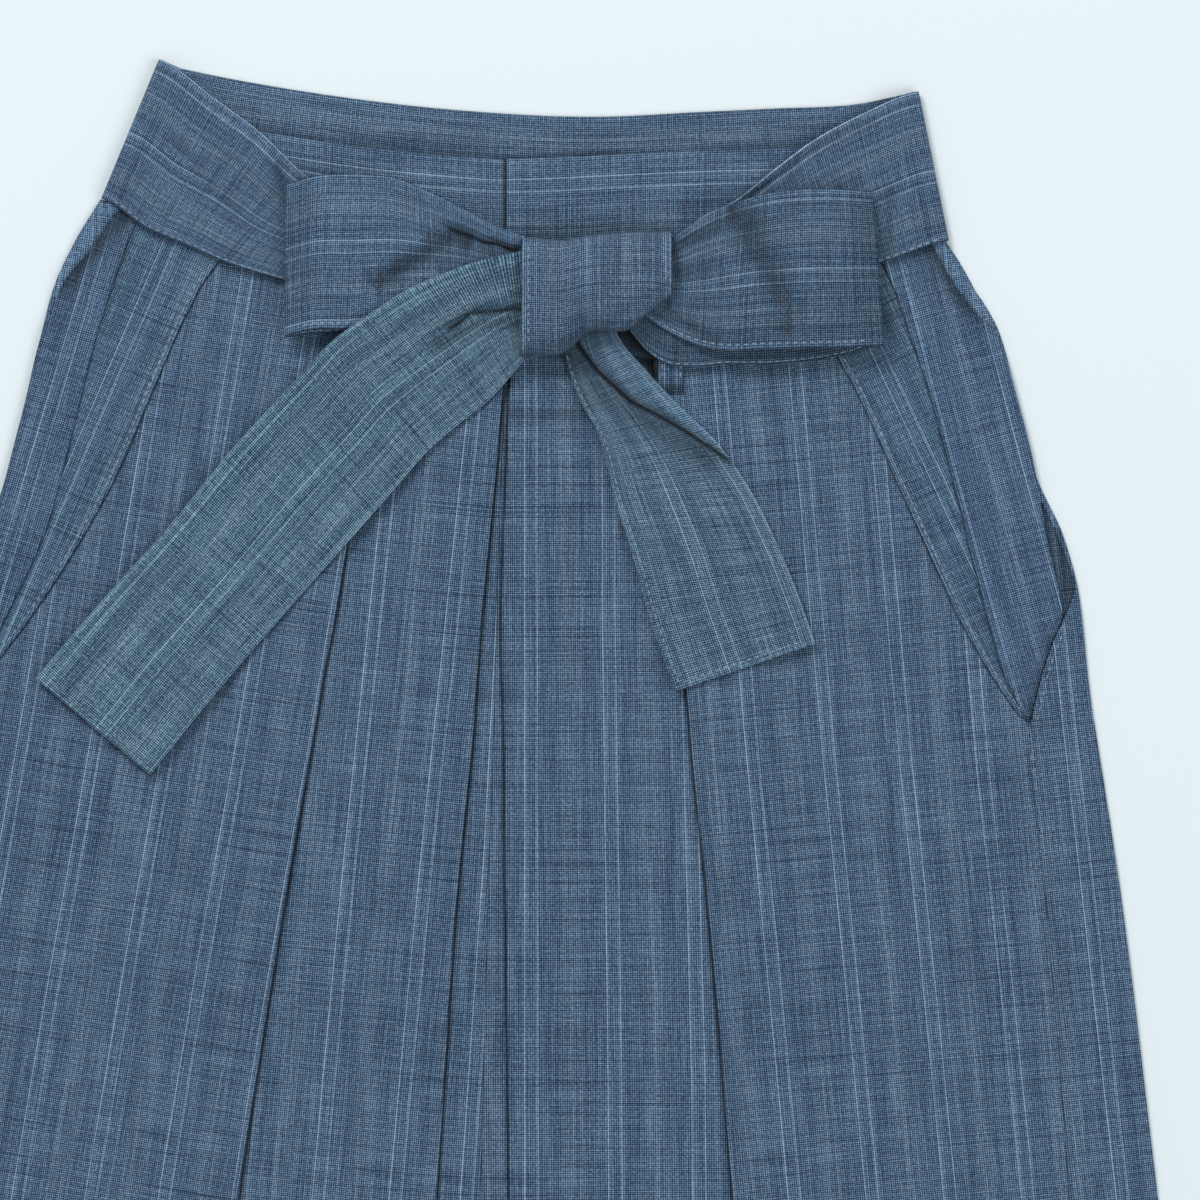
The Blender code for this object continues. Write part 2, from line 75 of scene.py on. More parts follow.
def smoothTable(keys, values, at, free=False):
    # A smooth curve through the rows of a table. Unless free, it never runs past a row.
    keys, values, at = (np.asarray(part, float) for part in (keys, values, at))
    steps = np.diff(keys)[:, None]
    slopes = np.diff(values, axis=0) / steps
    tangents = np.empty_like(values)
    tangents[0], tangents[-1] = slopes[0], slopes[-1]
    if free:
        tangents[1:-1] = (slopes[:-1] * steps[1:] + slopes[1:] * steps[:-1]) / (steps[1:] + steps[:-1])
    else:
        same = slopes[:-1] * slopes[1:] > 0
        total = np.where(same, slopes[:-1] + slopes[1:], 1.0)
        tangents[1:-1] = np.where(same, 2 * slopes[:-1] * slopes[1:] / total, 0.0)
    cell = np.clip(np.searchsorted(keys, at, side="right") - 1, 0, len(keys) - 2)
    run = steps[cell]
    t = ((at - keys[cell]) / steps[cell, 0])[:, None]
    start, end = values[cell], values[cell + 1]
    bend = t * (1 - t) ** 2 * run * tangents[cell] + t * t * (t - 1) * run * tangents[cell + 1]
    return (1 + 2 * t) * (1 - t) ** 2 * start + t * t * (3 - 2 * t) * end + bend


def ease(t):
    t = np.clip(t, 0, 1)
    return t * t * (3 - 2 * t)


def creaseLift(x, y, creases, ends=(0.3, 0.35)):
    # Each crease is a line in plan with a width and a height. A height below 0 is a trough.
    lift = np.zeros_like(x)
    for line, width, height in creases:
        line = np.array(line, float)
        runs = np.hypot(*np.diff(line, axis=0).T)
        before = np.concatenate([[0], np.cumsum(runs)])
        nearest = np.full(x.shape, 1e9)
        place = np.zeros_like(x)
        for k, (a, b) in enumerate(zip(line, line[1:])):
            along = b - a
            t = np.clip(((x - a[0]) * along[0] + (y - a[1]) * along[1]) / (along @ along), 0, 1)
            distance = np.hypot(x - a[0] - t * along[0], y - a[1] - t * along[1])
            closer = distance < nearest
            nearest = np.where(closer, distance, nearest)
            place = np.where(closer, (before[k] + t * runs[k]) / before[-1], place)
        fade = ease(place / ends[0]) * ease((1 - place) / ends[1])
        lift += height * np.exp(-((nearest / width) ** 2)) * fade
    return lift


def paintedShadeOf(grid, lines):
    # Painted shade: cloth is coloured darker in a tight crease and beside an edge that lies on it, where
    # shadow falls. An amount above 0 is a painted highlight.
    return np.clip(1 + creaseLift(grid[..., 0], grid[..., 1], lines, ends=(0.05, 0.05)), 0.04, 1.4)


def waver(x, y, size, height, seed):
    # Slow uneven rise and fall of cloth that lies loose.
    lift = np.zeros_like(x)
    for step, (turn, scale) in enumerate(((0.3, 1.0), (1.7, 0.63), (2.6, 0.41), (0.9, 0.29))):
        angle = turn + seed * 0.77
        phase = seed * 2.1 + step * 1.3
        along = x * math.cos(angle) + y * math.sin(angle) * 0.45
        lift += np.sin(along * 2 * math.pi / (size * scale) + phase + 1.4 * np.sin(y / 97 + phase)) * scale
    return lift * height / 2


def turnOf(edge, side, low, high, wall, count):
    # Cloth folded round at an edge, from one level to the next. Side 1 has the edge on the outer side.
    radius = (high - low) / 2
    centre = edge - side * (wall / 2 + abs(radius))
    angles = -math.pi / 2 + math.pi * np.arange(count + 1) / count
    x = centre[:, None] + side * abs(radius) * np.cos(angles)
    z = np.broadcast_to((low + high) / 2 + radius * np.sin(angles), x.shape)
    return x, z


def paintedFoldShade(count):
    # Painted shade: a pressed fold is coloured darker where it turns under, away from the light.
    angles = np.linspace(-90, 90, count + 1)
    return 0.22 + 0.78 * ease((angles - 10) / 80)


def stretchOf(start, end, height, count, inner=True):
    # Evenly spaced columns from start to end, without the ends if inner. Height may be a function.
    t = np.arange(1, count) / count if inner else np.arange(count + 1) / count
    x = start[:, None] + (end - start)[:, None] * t
    return x, height(x) if callable(height) else np.full_like(x, height)


def clothPiece(name, grid, pattern, wall, material, nodeName, flat, area=None,
               shade=None):
    # One sheet from a grid of points in millimetres, with its place in the woven pattern in metres.
    rows, columns = grid.shape[:2]
    index = np.arange(rows * columns).reshape(rows, columns)
    corners = (index[:-1, :-1], index[:-1, 1:], index[1:, 1:], index[1:, :-1])
    quads = np.stack(corners, axis=-1).reshape(-1, 4)
    mesh = bpy.data.meshes.new(name)
    mesh.from_pydata((grid.reshape(-1, 3) * mm + datum).tolist(), [], quads.tolist())
    layer = mesh.uv_layers.new(name="clothPattern")
    layer.data.foreach_set("uv", pattern.reshape(-1, 2)[quads.ravel()].ravel())
    # Painted shade and highlight for each point of the sheet, read by the material
    darker = mesh.attributes.new("paintedShadeAndLight", "FLOAT", "POINT")
    shade = np.ones((rows, columns)) if shade is None else np.broadcast_to(shade, (rows, columns))
    darker.data.foreach_set("value", shade.ravel().astype(np.float32))
    mesh.materials.append(material)
    piece = bpy.data.objects.new(name, mesh)
    bpy.context.scene.collection.objects.link(piece)
    solidify = piece.modifiers.new("wall", "SOLIDIFY")
    solidify.thickness = wall * mm
    solidify.offset = 0.0
    bpy.ops.object.select_all(action="DESELECT")
    piece.select_set(True)
    bpy.context.view_layer.objects.active = piece
    bpy.ops.object.modifier_apply(modifier="wall")
    bpy.ops.object.shade_smooth_by_angle(angle=math.radians(50))
    piece.select_set(False)
    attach(piece, "root")
    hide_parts(nodeName)
    surface = gridArea(grid)
    print(f"{name}: {len(quads) * 4} triangles, cloth {surface / 1e6:.4f} m2, flat {flat}")
    return piece


def gridArea(grid):
    across = grid[:-1, 1:] - grid[:-1, :-1]
    down = grid[1:, :-1] - grid[:-1, :-1]
    return float(np.linalg.norm(np.cross(across, down), axis=-1).sum())


# Materials: one striped end-on-end cloth, with the small differences between its pieces

weave = {
    "thread": 0.00115,  # one light and one dark thread together
    "stripeRepeat": repeat * mm,
    "stripeStrength": 0.36,
    "warmth": (1.05, 1.01, 0.98),  # of the soft band in the middle of the repeat
    "warmStart": 0.44,
    "warmEnd": 0.73,
    # share of the repeat, and how much lighter the cloth is there
    "chart": (
        (0.0, 0.5), (0.003, 0.86), (0.019, 0.86), (0.024, 0.05), (0.041, 0.05), (0.046, 0.34), (0.053, 0.34),
        (0.059, 0.05), (0.15, 0.05), (0.155, 0.74), (0.172, 0.74), (0.177, 0.06), (0.25, 0.0), (0.42, 0.0),
        (0.46, 0.07), (0.478, 0.09), (0.484, 0.24), (0.494, 0.24), (0.5, 0.1), (0.565, 0.11), (0.573, 0.3),
        (0.587, 0.3), (0.595, 0.11), (0.66, 0.09),
        (0.668, 0.22), (0.678, 0.22), (0.685, 0.07), (0.74, 0.01), (0.86, 0.0), (0.93, 0.05), (0.985, 0.03),
    ),
    "shades": (
        (0.0, (0.004, 0.013, 0.034)),
        (0.3, (0.026, 0.058, 0.108)),
        (0.5, (0.076, 0.139, 0.222)),
        (0.7, (0.155, 0.248, 0.360)),
        (1.0, (0.33, 0.44, 0.56)),
    ),
    "middleShade": 0.378,
    "latticeDepth": 0.19,  # of the light and dark threads
    # Uneven yarn: fineness across and along the warp, detail, place in the noise, how much it shows
    "yarn": (
        (900, 26, 1.0, 3.1, 0.3),  # slubs in the warp
        (470, 13, 1.0, 13.9, 0.24),  # longer streaks in the warp
        (30, 900, 1.0, 7.7, 0.3),  # slubs in the weft
        (760, 700, 1.0, 43.9, 0.5),  # grain
        (170, 4, 2.0, 11.3, 0.13),  # bands in the warp
        (6, 150, 2.0, 17.9, 0.05),  # bands in the weft
        (28, 22, 2.0, 31.1, 0.05),  # mottle
    ),
    # A few threads of the weft are darker from end to end
    "darkWeft": {"noise": (9, 760, 0.0), "place": 23.3, "start": 0.19, "depth": -0.7},
}


def addNode(tree, kind, **settings):
    node = tree.nodes.new(kind)
    for key, value in settings.items():
        setattr(node, key, value)
    return node


def feed(tree, socket, value):
    if isinstance(value, bpy.types.NodeSocket):
        tree.links.new(value, socket)
    else:
        socket.default_value = value


def sumOf(tree, operation, *values):
    node = addNode(tree, "ShaderNodeMath", operation=operation)
    for socket, value in zip(node.inputs, values):
        feed(tree, socket, value)
    return node.outputs[0]


def threadNoise(tree, u, v, across, along, detail, offset):
    # Uneven yarn: fine in one direction of the cloth and long in the other.
    place = addNode(tree, "ShaderNodeCombineXYZ")
    feed(tree, place.inputs["X"], sumOf(tree, "MULTIPLY_ADD", u, across, offset))
    feed(tree, place.inputs["Y"], sumOf(tree, "MULTIPLY_ADD", v, along, offset * 1.7))
    noise = addNode(tree, "ShaderNodeTexNoise", noise_dimensions="2D")
    tree.links.new(place.outputs[0], noise.inputs["Vector"])
    noise.inputs["Scale"].default_value = 1.0
    noise.inputs["Detail"].default_value = detail
    noise.inputs["Roughness"].default_value = 0.55
    return sumOf(tree, "SUBTRACT", noise.outputs[0], 0.5)


def stripedCloth(name, tint=(1.0, 1.0, 1.0), lighter=0.0, contrast=1.0, stripes=1.0, seed=0.0):
    material = bpy.data.materials.new(name)
    material.use_nodes = True
    tree = material.node_tree
    shader = tree.nodes["Principled BSDF"]
    pattern = addNode(tree, "ShaderNodeUVMap", uv_map="clothPattern")
    split = addNode(tree, "ShaderNodeSeparateXYZ")
    tree.links.new(pattern.outputs[0], split.inputs[0])
    u, v = split.outputs["X"], split.outputs["Y"]

    turn = 2 * math.pi / weave["thread"]
    warpWave = sumOf(tree, "SINE", sumOf(tree, "MULTIPLY", u, turn))
    weftWave = sumOf(tree, "SINE", sumOf(tree, "MULTIPLY", v, turn))
    lattice = sumOf(tree, "ADD", warpWave, weftWave)
    middle = weave["middleShade"] + lighter
    value = sumOf(tree, "MULTIPLY_ADD", lattice, weave["latticeDepth"] * contrast, middle)
    for across, along, detail, place, weight in weave["yarn"]:
        yarn = threadNoise(tree, u, v, across, along, detail, place + seed)
        value = sumOf(tree, "MULTIPLY_ADD", yarn, weight * contrast, value)
    darkWeft = weave["darkWeft"]
    line = threadNoise(tree, u, v, *darkWeft["noise"], darkWeft["place"] + seed)
    dark = sumOf(tree, "MAXIMUM", sumOf(tree, "SUBTRACT", line, darkWeft["start"]), 0.0)
    value = sumOf(tree, "MULTIPLY_ADD", dark, darkWeft["depth"], value)

    share = sumOf(tree, "FRACT", sumOf(tree, "DIVIDE", u, weave["stripeRepeat"]))
    chart = addNode(tree, "ShaderNodeValToRGB")
    tree.links.new(share, chart.inputs[0])
    fillRamp(chart.color_ramp, [(at, (lift, lift, lift)) for at, lift in weave["chart"]])
    value = sumOf(tree, "MULTIPLY_ADD", chart.outputs[0], weave["stripeStrength"] * stripes, value)

    shades = addNode(tree, "ShaderNodeValToRGB")
    tree.links.new(value, shades.inputs[0])
    tinted = [(at, tuple(c * t for c, t in zip(shade, tint))) for at, shade in weave["shades"]]
    fillRamp(shades.color_ramp, tinted)
    warm = addNode(tree, "ShaderNodeValToRGB")
    tree.links.new(share, warm.inputs[0])
    start, end, warmth = weave["warmStart"], weave["warmEnd"], weave["warmth"]
    plain = (1.0, 1.0, 1.0)
    fillRamp(warm.color_ramp, [(start, plain), (start + 0.06, warmth), (end - 0.08, warmth), (end, plain)])
    warmed = addNode(tree, "ShaderNodeVectorMath", operation="MULTIPLY")
    tree.links.new(shades.outputs[0], warmed.inputs[0])
    tree.links.new(warm.outputs[0], warmed.inputs[1])
    # Painted shade and highlight: the base colour is scaled darker or lighter by each point's painted value
    paintedShadeNode = addNode(tree, "ShaderNodeAttribute", attribute_name="paintedShadeAndLight")
    shaded = addNode(tree, "ShaderNodeVectorMath", operation="SCALE")
    tree.links.new(warmed.outputs[0], shaded.inputs[0])
    tree.links.new(paintedShadeNode.outputs["Fac"], shaded.inputs["Scale"])
    tree.links.new(shaded.outputs[0], shader.inputs["Base Color"])

    rough = sumOf(tree, "MULTIPLY_ADD", value, -0.12, 0.86)
    tree.links.new(rough, shader.inputs["Roughness"])
    bump = addNode(tree, "ShaderNodeBump")
    bump.inputs["Strength"].default_value = 0.25
    bump.inputs["Distance"].default_value = 0.00025
    tree.links.new(value, bump.inputs["Height"])
    tree.links.new(bump.outputs[0], shader.inputs["Normal"])
    shader.inputs["Specular IOR Level"].default_value = 0.25
    shader.inputs["Sheen Weight"].default_value = 0.12
    shader.inputs["Sheen Roughness"].default_value = 0.5
    shader.inputs["Sheen Tint"].default_value = (0.75, 0.85, 1.0, 1.0)
    return material


def fillRamp(ramp, stops):
    ramp.interpolation = "LINEAR"
    while len(ramp.elements) < len(stops):
        ramp.elements.new(0.5)
    # Elements change places while they move, so the colours are set once they all stand right.
    for element, (at, shade) in zip(ramp.elements, stops):
        element.position = at
    for element, (at, shade) in zip(ramp.elements, stops):
        element.position = at
        element.color = (*shade, 1.0)


def threadMaterial():
    material = bpy.data.materials.new("topstitchThread")
    material.use_nodes = True
    tree = material.node_tree
    shader = tree.nodes["Principled BSDF"]
    place = addNode(tree, "ShaderNodeTexCoord")
    noise = addNode(tree, "ShaderNodeTexNoise")
    tree.links.new(place.outputs["Object"], noise.inputs["Vector"])
    noise.inputs["Scale"].default_value = 900.0
    shades = addNode(tree, "ShaderNodeValToRGB")
    tree.links.new(noise.outputs[0], shades.inputs[0])
    fillRamp(shades.color_ramp, [(0.3, (0.17, 0.24, 0.32)), (0.7, (0.32, 0.41, 0.50))])
    tree.links.new(shades.outputs[0], shader.inputs["Base Color"])
    shader.inputs["Roughness"].default_value = 0.6
    shader.inputs["Sheen Weight"].default_value = 0.1
    return material


clothOf = {
    "back": stripedCloth("backCloth", seed=0.0),
    "front": stripedCloth("frontCloth", seed=40.0),
    "sidePleat": stripedCloth("sidePleatCloth", tint=(0.93, 0.98, 0.96), seed=80.0),
    "sidePanel": stripedCloth("sidePanelCloth", tint=(0.94, 0.95, 0.98), seed=120.0),
    "waistband": stripedCloth("waistbandCloth", lighter=0.012, seed=160.0),
    "tie": stripedCloth("tieCloth", seed=200.0),
    "knot": stripedCloth("knotCloth", tint=(1.04, 1.0, 0.98), stripes=0.6, seed=240.0),
    "leftTail": stripedCloth("leftTailCloth", tint=(1.0, 1.11, 1.02), contrast=1.3, seed=280.0),
    "rightTail": stripedCloth("rightTailCloth", tint=(1.01, 1.05, 0.99), contrast=1.1, seed=300.0),
    "beltLoop": stripedCloth("beltLoopCloth", lighter=-0.06, seed=320.0),
}
print("cloth made:", len(clothOf), "materials")


# Legs

legRows = {
    "columns": ("centre", "innerFold", "outerFold", "sidePleat", "sideFold", "border", "turn", "outline",
                "ease"),
    "left": (
        (-66, 1.2, 1.2, 57, 146, 198, 204, 205, 217, 1.0),
        (-78, 1.3, 1.25, 59.8, 155.5, 204.5, 219.5, 220, 231.5, 1.0),
        (-90, 1.4, 1.3, 62.5, 165, 211, 237, 238, 242, 1.0),
        (-97, 1.5, 1.4, 63.7, 168.5, 213.5, 240.5, 240.3, 244.3, 1.0),
        (-110, 1.6, 1.6, 66, 175, 218, 247, 245, 247.5, 1.0),
        (-150, 2.8, 4.2, 73, 192, 228, 257, 254.5, 257, 1.0),
        (-189, 4.6, 7.5, 79.5, 209, 238, 267, 264, 267.2, 1.0),
        (-220, 5.8, 10.5, 85, 226, 247, 275, 274.5, 277, 0.85),
        (-262, 7.0, 14.5, 92, 253, 266.5, 285.5, 286.5, 290.5, 0.55),
        (-292, 7.8, 17, 98, 275.5, 282, 291.5, 292.3, 299.5, 0.2),
        (-316, 8.3, 18.6, 102, 292, 294.5, 298, 298.8, 308, 0.0),
    ),
    "right": (
        (-76, -1.2, 0.2, 70, 141, 196, 221, 222, 231, 1.0),
        (-83, -1.3, 0.25, 71, 147.5, 200, 228.5, 229, 239.3, 1.0),
        (-90, -1.4, 0.3, 72, 154, 204, 236, 237, 246, 1.0),
        (-103, -1.5, 0.37, 73.3, 161, 208.5, 246.5, 247, 254.6, 1.0),
        (-112, -1.6, 0.4, 74.2, 166, 211.6, 257, 255, 259, 1.0),
        (-150, -2.8, -0.8, 78, 187, 224, 269.5, 267, 269.5, 1.0),
        (-189, -4.6, -2.0, 82, 204, 234.5, 278.8, 276, 279, 1.0),
        (-220, -5.8, -3.4, 85, 218, 242, 284, 290, 293, 0.85),
        (-250, -6.7, -4.3, 87.8, 231.6, 249.5, 290.8, 299.2, 301.2, 0.64),
        (-262, -7.0, -4.6, 89, 237, 252.5, 292.5, 294.6, 303, 0.55),
        (-277, -7.4, -4.5, 90.5, 245.3, 256.8, 287, 287.8, 304.6, 0.38),
        (-292, -7.8, -4.3, 92, 254, 261, 281.8, 282.5, 306, 0.2),
        (-316, -8.3, -3.4, 94.6, 270, 272.5, 276, 276.8, 309, 0.0),
    ),
}
# Below the side opening: centre, inner fold, outer fold, seam, outline.
hemRows = {
    "left": (
        (-322, 8.5, 19, 103, 297, 310),
        (-420, 11.7, 28.6, 120, 311, 329),
        (-560, 15.4, 38, 142, 332, 355),
        (-750, 20.5, 51, 170, 359, 391),
        (-943, 26, 66, 199, 388, 428),
    ),
    "right": (
        (-322, -8.5, -3.2, 95, 275.5, 310),
        (-420, -11.7, -2.2, 105, 284.5, 325),
        (-560, -15.4, -0.6, 117, 295.5, 342),
        (-750, -20.5, 0.8, 131, 305, 366),
        (-943, -26, 2, 144, 315, 391),
    ),
}
# Lower edge of the waistband, which the panels hang from.
waistEdge = {
    "back": ((-216, -41.9), (-203, -50), (-163, -57), (-102.8, -66.8), (-28.5, -75), (47.7, -78.4),
             (101, -76), (141, -74), (193.5, -70.5), (232, -64.1)),
    "left": ((-216, -46), (-203, -50), (-176, -58), (-134.6, -65.8), (-84.8, -73.7), (-2.6, -81.2),
             (12, -81.2)),
    "right": ((-1.5, -81), (24, -80.2), (47.7, -79), (108.7, -76.4), (150, -75), (200, -71.5), (212, -68),
              (235, -62)),
}
leg = {
    "rowStep": 5.0,
    "waistGap": 0.9,
    "centreDepth": 30.0,  # hidden width of the pleat by the centre front
    "outerDepth": 34.0,
    "underlap": 10.0,
    "slope": 22.0,  # run over which a panel comes down from the pleat under it
    "rollHeight": 1.95,  # of the back's edge, rolled over the side panel by the waist
    "rollCrown": 1.6,
    "rollCover": 3.5,  # hidden width of the side panel under that roll
    "rollEnd": {"left": 86.0, "right": 99.0},  # how far down the roll starts to flatten
    "rollFade": 14.0,
    # painted highlight on the crown of the back's rolled edge
    "rollPaintedLight": 0.3,
    "backTuck": 3.0,  # how far the rolled edge goes up inside the fold of the tie
    "panelTuck": 2.6,
    "backSteps": 52,
    "turnSteps": 6,
    "openingHeight": 2.3,  # of the turned edge at the foot of the side opening
    "seamPucker": 0.35,  # small waves along the side seam
    "puckerWidth": 5.0,
    "puckerTop": -325.0,
    "frontShare": 0.6,  # how much of it the front has
    "foldPuff": 0.9,  # the cloth springs up a little behind each pressed fold
    "pleatEdgePaintedShade": (0.45, 0.95, 1.18, 1.15, 1.08),  # painted shadow and painted highlight of the side pleat beside its stitched edge
    # Width and length each panel is cut from, with its folds, and the area of its tapered cut.
    "cut": {
        "front": {"left": ((0.49, 0.87), 0.368), "right": ((0.47, 0.87), 0.361)},
        "back": {"left": ((0.443, 0.87), 0.304), "right": ((0.493, 0.87), 0.335)},
        "sidePleat": {"left": ((0.066, 0.28), 0.0099), "right": ((0.066, 0.27), 0.0093)},
        "sidePanel": {"left": ((0.031, 0.28), 0.0061), "right": ((0.048, 0.27), 0.0094)},
    },
}
# Where the first line of a stripe pair runs on each panel: y, x of that line, and the repeat across.
stripeRows = {
    "centreLeft": ((-82, 2, 41), (-386, -14, 41), (-943, -52, 42)),
    "innerLeft": ((-82, -15.2, 40.8), (-386.9, -47.2, 40.8), (-508.8, -58.8, 40.8), (-943, -97, 41.5)),
    "outerLeft": ((-82, -103.8, 38.7), (-328.6, -145.2, 38.7), (-455.8, -167.5, 38.7), (-943, -248, 40)),
    "centreRight": ((-82, 7.4, 41), (-265, 7.4, 41.3), (-508.8, 7.4, 44.3), (-943, 9, 45)),
    "outerRight": ((-82, 102.6, 40.5), (-339.2, 125.1, 40.5), (-466.4, 137.3, 41), (-943, 181.8, 42)),
    "backLeft": ((-60, -200, 41.5), (-322, -240, 41.5), (-943, -330, 41.5)),
    "backRight": ((-60, 264, 41.5), (-322, 292.7, 41.5), (-466.4, 309, 41.5), (-943, 363, 41.5)),
    "sidePleatLeft": ((-52, -178.6, 45.2), (-322, -294.9, 45.2)),
    "sidePanelLeft": ((-52, -216.9, 43.3), (-322, -296.9, 43.3)),
    "sidePleatRight": ((-70, 166.2, 45.8), (-322, 283.7, 45.8)),
    "sidePanelRight": ((-70, 241, 42.8), (-190.8, 272.9, 42.8), (-322, 309, 42.8)),
}
# Soft folds of the loose panels: line in plan, width, height.
legCreases = {
    "left": (
        (((-30, -110), (-44, -260), (-60, -430)), 9, -0.7),
        (((-92, -120), (-112, -300), (-128, -520)), 7, 0.6),
        (((-150, -90), (-176, -190), (-205, -330)), 8, 0.7),
        (((-140, -90), (-160, -190), (-186, -300)), 6, -0.8),
        (((-196, -360), (-236, -560), (-280, -800)), 14, -0.8),
        (((-236, -420), (-282, -640), (-322, -860)), 11, 0.8),
        (((-62, -420), (-84, -640), (-104, -900)), 12, 0.7),
        (((-300, -400), (-330, -560), (-352, -720)), 9, -0.7),
    ),
    "right": (
        (((28, -110), (34, -250), (30, -420)), 9, -0.7),
        (((58, -180), (60, -330), (66, -560)), 12, 0.6),
        (((110, -140), (122, -270), (146, -430)), 8, 0.6),
        (((150, -110), (176, -240), (190, -420)), 9, -0.8),
        (((196, -300), (222, -480), (240, -700)), 13, 0.8),
        (((160, -460), (178, -640), (200, -860)), 11, -0.8),
        (((256, -380), (272, -560), (284, -800)), 9, 0.6),
        (((84, -520), (92, -700), (110, -900)), 12, -0.7),
        (((322, -360), (330, -520), (344, -760)), 8, 0.8),
        (((338, -430), (350, -600), (366, -820)), 6, -0.6),
    ),
}
# Columns beside an edge that lies on the cloth, and the painted shadow of that edge on the cloth there.
edgeLine = {
    "columns": np.array([-2.4, -1.4, -0.8, -0.3, 0.3, 1.0]),
    "shade": np.array([1.0, 0.84, 0.5, 0.28, 0.28, 0.45]),
    "hidden": 0.6,
    "sideStrength": {"left": 0.45, "right": 0.85},
}
# Painted shade: the deep gap beside the knot painted nearly black, and a press line below it painted darker.
legPaintedShades = {
    "left": (),
    "right": (
        (((56, -112), (64, -117), (72, -127), (80, -138)), 5.0, -0.93),
        (((-3, -155.5), (12, -157.5), (28, -156.5), (42, -154)), 3.2, -0.42),
    ),
}

legLines = ("centre", "innerFold", "outerFold", "sidePleat", "frontEnd", "turn", "outline")


def besideEdge(start, end, edge, height, before, after):
    # Columns between start and end, closer together beside an edge that lies on this layer.
    near = edge[:, None] + edgeLine["columns"]
    room = 0.04 * np.arange(1, near.shape[1] + 1)
    near = np.minimum(np.maximum(near, start[:, None] + room), end[:, None] - room[::-1])
    first = stretchOf(start, near[:, 0], 0.0, before)[0]
    last = stretchOf(near[:, -1], end, 0.0, after)[0]
    x = np.concatenate([first, near, last], axis=1)
    # Painted shadow beside the edge; the hidden columns past it are painted darker too.
    shade = np.concatenate([np.ones(before - 1), edgeLine["shade"], np.full(after - 1, edgeLine["hidden"])])
    return x, height(x) if callable(height) else np.full_like(x, height), np.broadcast_to(shade, x.shape)


def column(x, height):
    x = np.asarray(x)[:, None]
    return x, height(x) if callable(height) else np.full_like(x, height)


def legTable(side):
    # Smooth tables from waist to hem, as one array for each named line.
    top = legRows[side][0][0]
    keys, values = [], []
    for row in legRows[side]:
        entry = dict(zip(("y",) + legRows["columns"], row))
        entry["frontEnd"] = entry["sidePleat"] + leg["underlap"] * entry["ease"] + 0.8
        keys.append(-entry["y"])
        values.append([entry[name] for name in legLines])
    for y, centre, inner, outer, seam, outline in hemRows[side]:
        keys.append(-y)
        values.append([centre, inner, outer, seam - cloth["gap"] - 0.8, seam - cloth["gap"], seam, outline])
    bottom = hemRows[side][-1][0]
    count = int(round((top - bottom) / leg["rowStep"]))
    y = np.linspace(top, bottom, count + 1)
    dense = smoothTable(keys, values, -y)
    table = dict(zip(legLines, dense.T))
    table["y"] = y
    return table


def upperTable(side):
    # The side pleat and side panel end at the foot of the opening.
    rows = legRows[side]
    keys = [-row[0] for row in rows]
    y = np.linspace(rows[0][0], rows[-1][0], 76)
    dense = smoothTable(keys, [row[1:] for row in rows], -y)
    table = dict(zip(legRows["columns"], dense.T))
    table["y"] = y
    return table


def hungGrid(side, x, z, y, edge, tuck=0.0):
    # Columns are measured outwards from the centre. The top follows the waistband, or is tucked behind it.
    sign = -1 if side == "left" else 1
    plan = x * sign
    top, second = y[0], -90.0
    xs, ys = zip(*sorted(waistEdge[edge]))
    edgeY = np.interp(plan, xs, ys) - leg["waistGap"] + tuck
    share = np.clip((top - y) / (top - second), 0, 1)[:, None]
    rows = np.where(y[:, None] >= second, edgeY * (1 - share) + second * share, y[:, None])
    return np.stack([plan, rows, z], axis=-1)


def patternOf(grid, rowsOfStripe):
    # Distance across the stripes from the first line of a pair, and distance along them.
    keys = [-row[0] for row in rowsOfStripe]
    at = -grid[..., 1]
    first = np.interp(at, keys, [row[1] for row in rowsOfStripe])
    wide = np.interp(at, keys, [row[2] for row in rowsOfStripe])
    slope = (rowsOfStripe[-1][1] - rowsOfStripe[0][1]) / (keys[-1] - keys[0])
    lean = math.atan(slope)
    u = (grid[..., 0] - first) * repeat / wide
    v = grid[..., 1] * math.cos(lean) - grid[..., 0] * math.sin(lean)
    return np.stack([u, v], axis=-1) * mm


def settle(grid, creases, seed, height=0.5):
    # Creases and slack move the upper layers most, and leave the underside flat.
    x, y, z = grid[..., 0], grid[..., 1], grid[..., 2]
    lift = creaseLift(x, y, creases) + waver(x, y, 90, height, seed)
    free = ease((-y - 70) / 50)
    share = np.clip((z - level[0]) / (level[3] - level[0]), 0, 1.3)
    room = np.where(lift < 0, 0.55, 1.0)
    grid[..., 2] = z + lift * free * share * room
    return grid


def seamPucker(grid, table, phase):
    near = np.exp(-(((np.abs(grid[..., 0]) - table["turn"][:, None]) / leg["puckerWidth"]) ** 2))
    y = table["y"][:, None]
    wave = np.sin(y / 1.9 + 1.6 * np.sin(y / 31) + phase)
    return (y < leg["puckerTop"]) * near * wave * leg["seamPucker"]


# Node name, how the cloth is held, and the node it rests on
legNodes = {
    "back": ("back", "laid", None),
    "front": ("front", "folded", "back_"),
    "sidePleat": ("side_pleat", "folded", "front_"),
    "sidePanel": ("side_panel", "folded", "side_pleat_"),
}


def legPiece(side, kind, grid, pattern, shade):
    node, held, below = legNodes[kind]
    flat, area = leg["cut"][kind][side]
    clothPiece(side + kind[0].upper() + kind[1:], grid, pattern, cloth["wall"], clothOf[kind],
               node + "_" + side, flat, area=area, shade=shade)


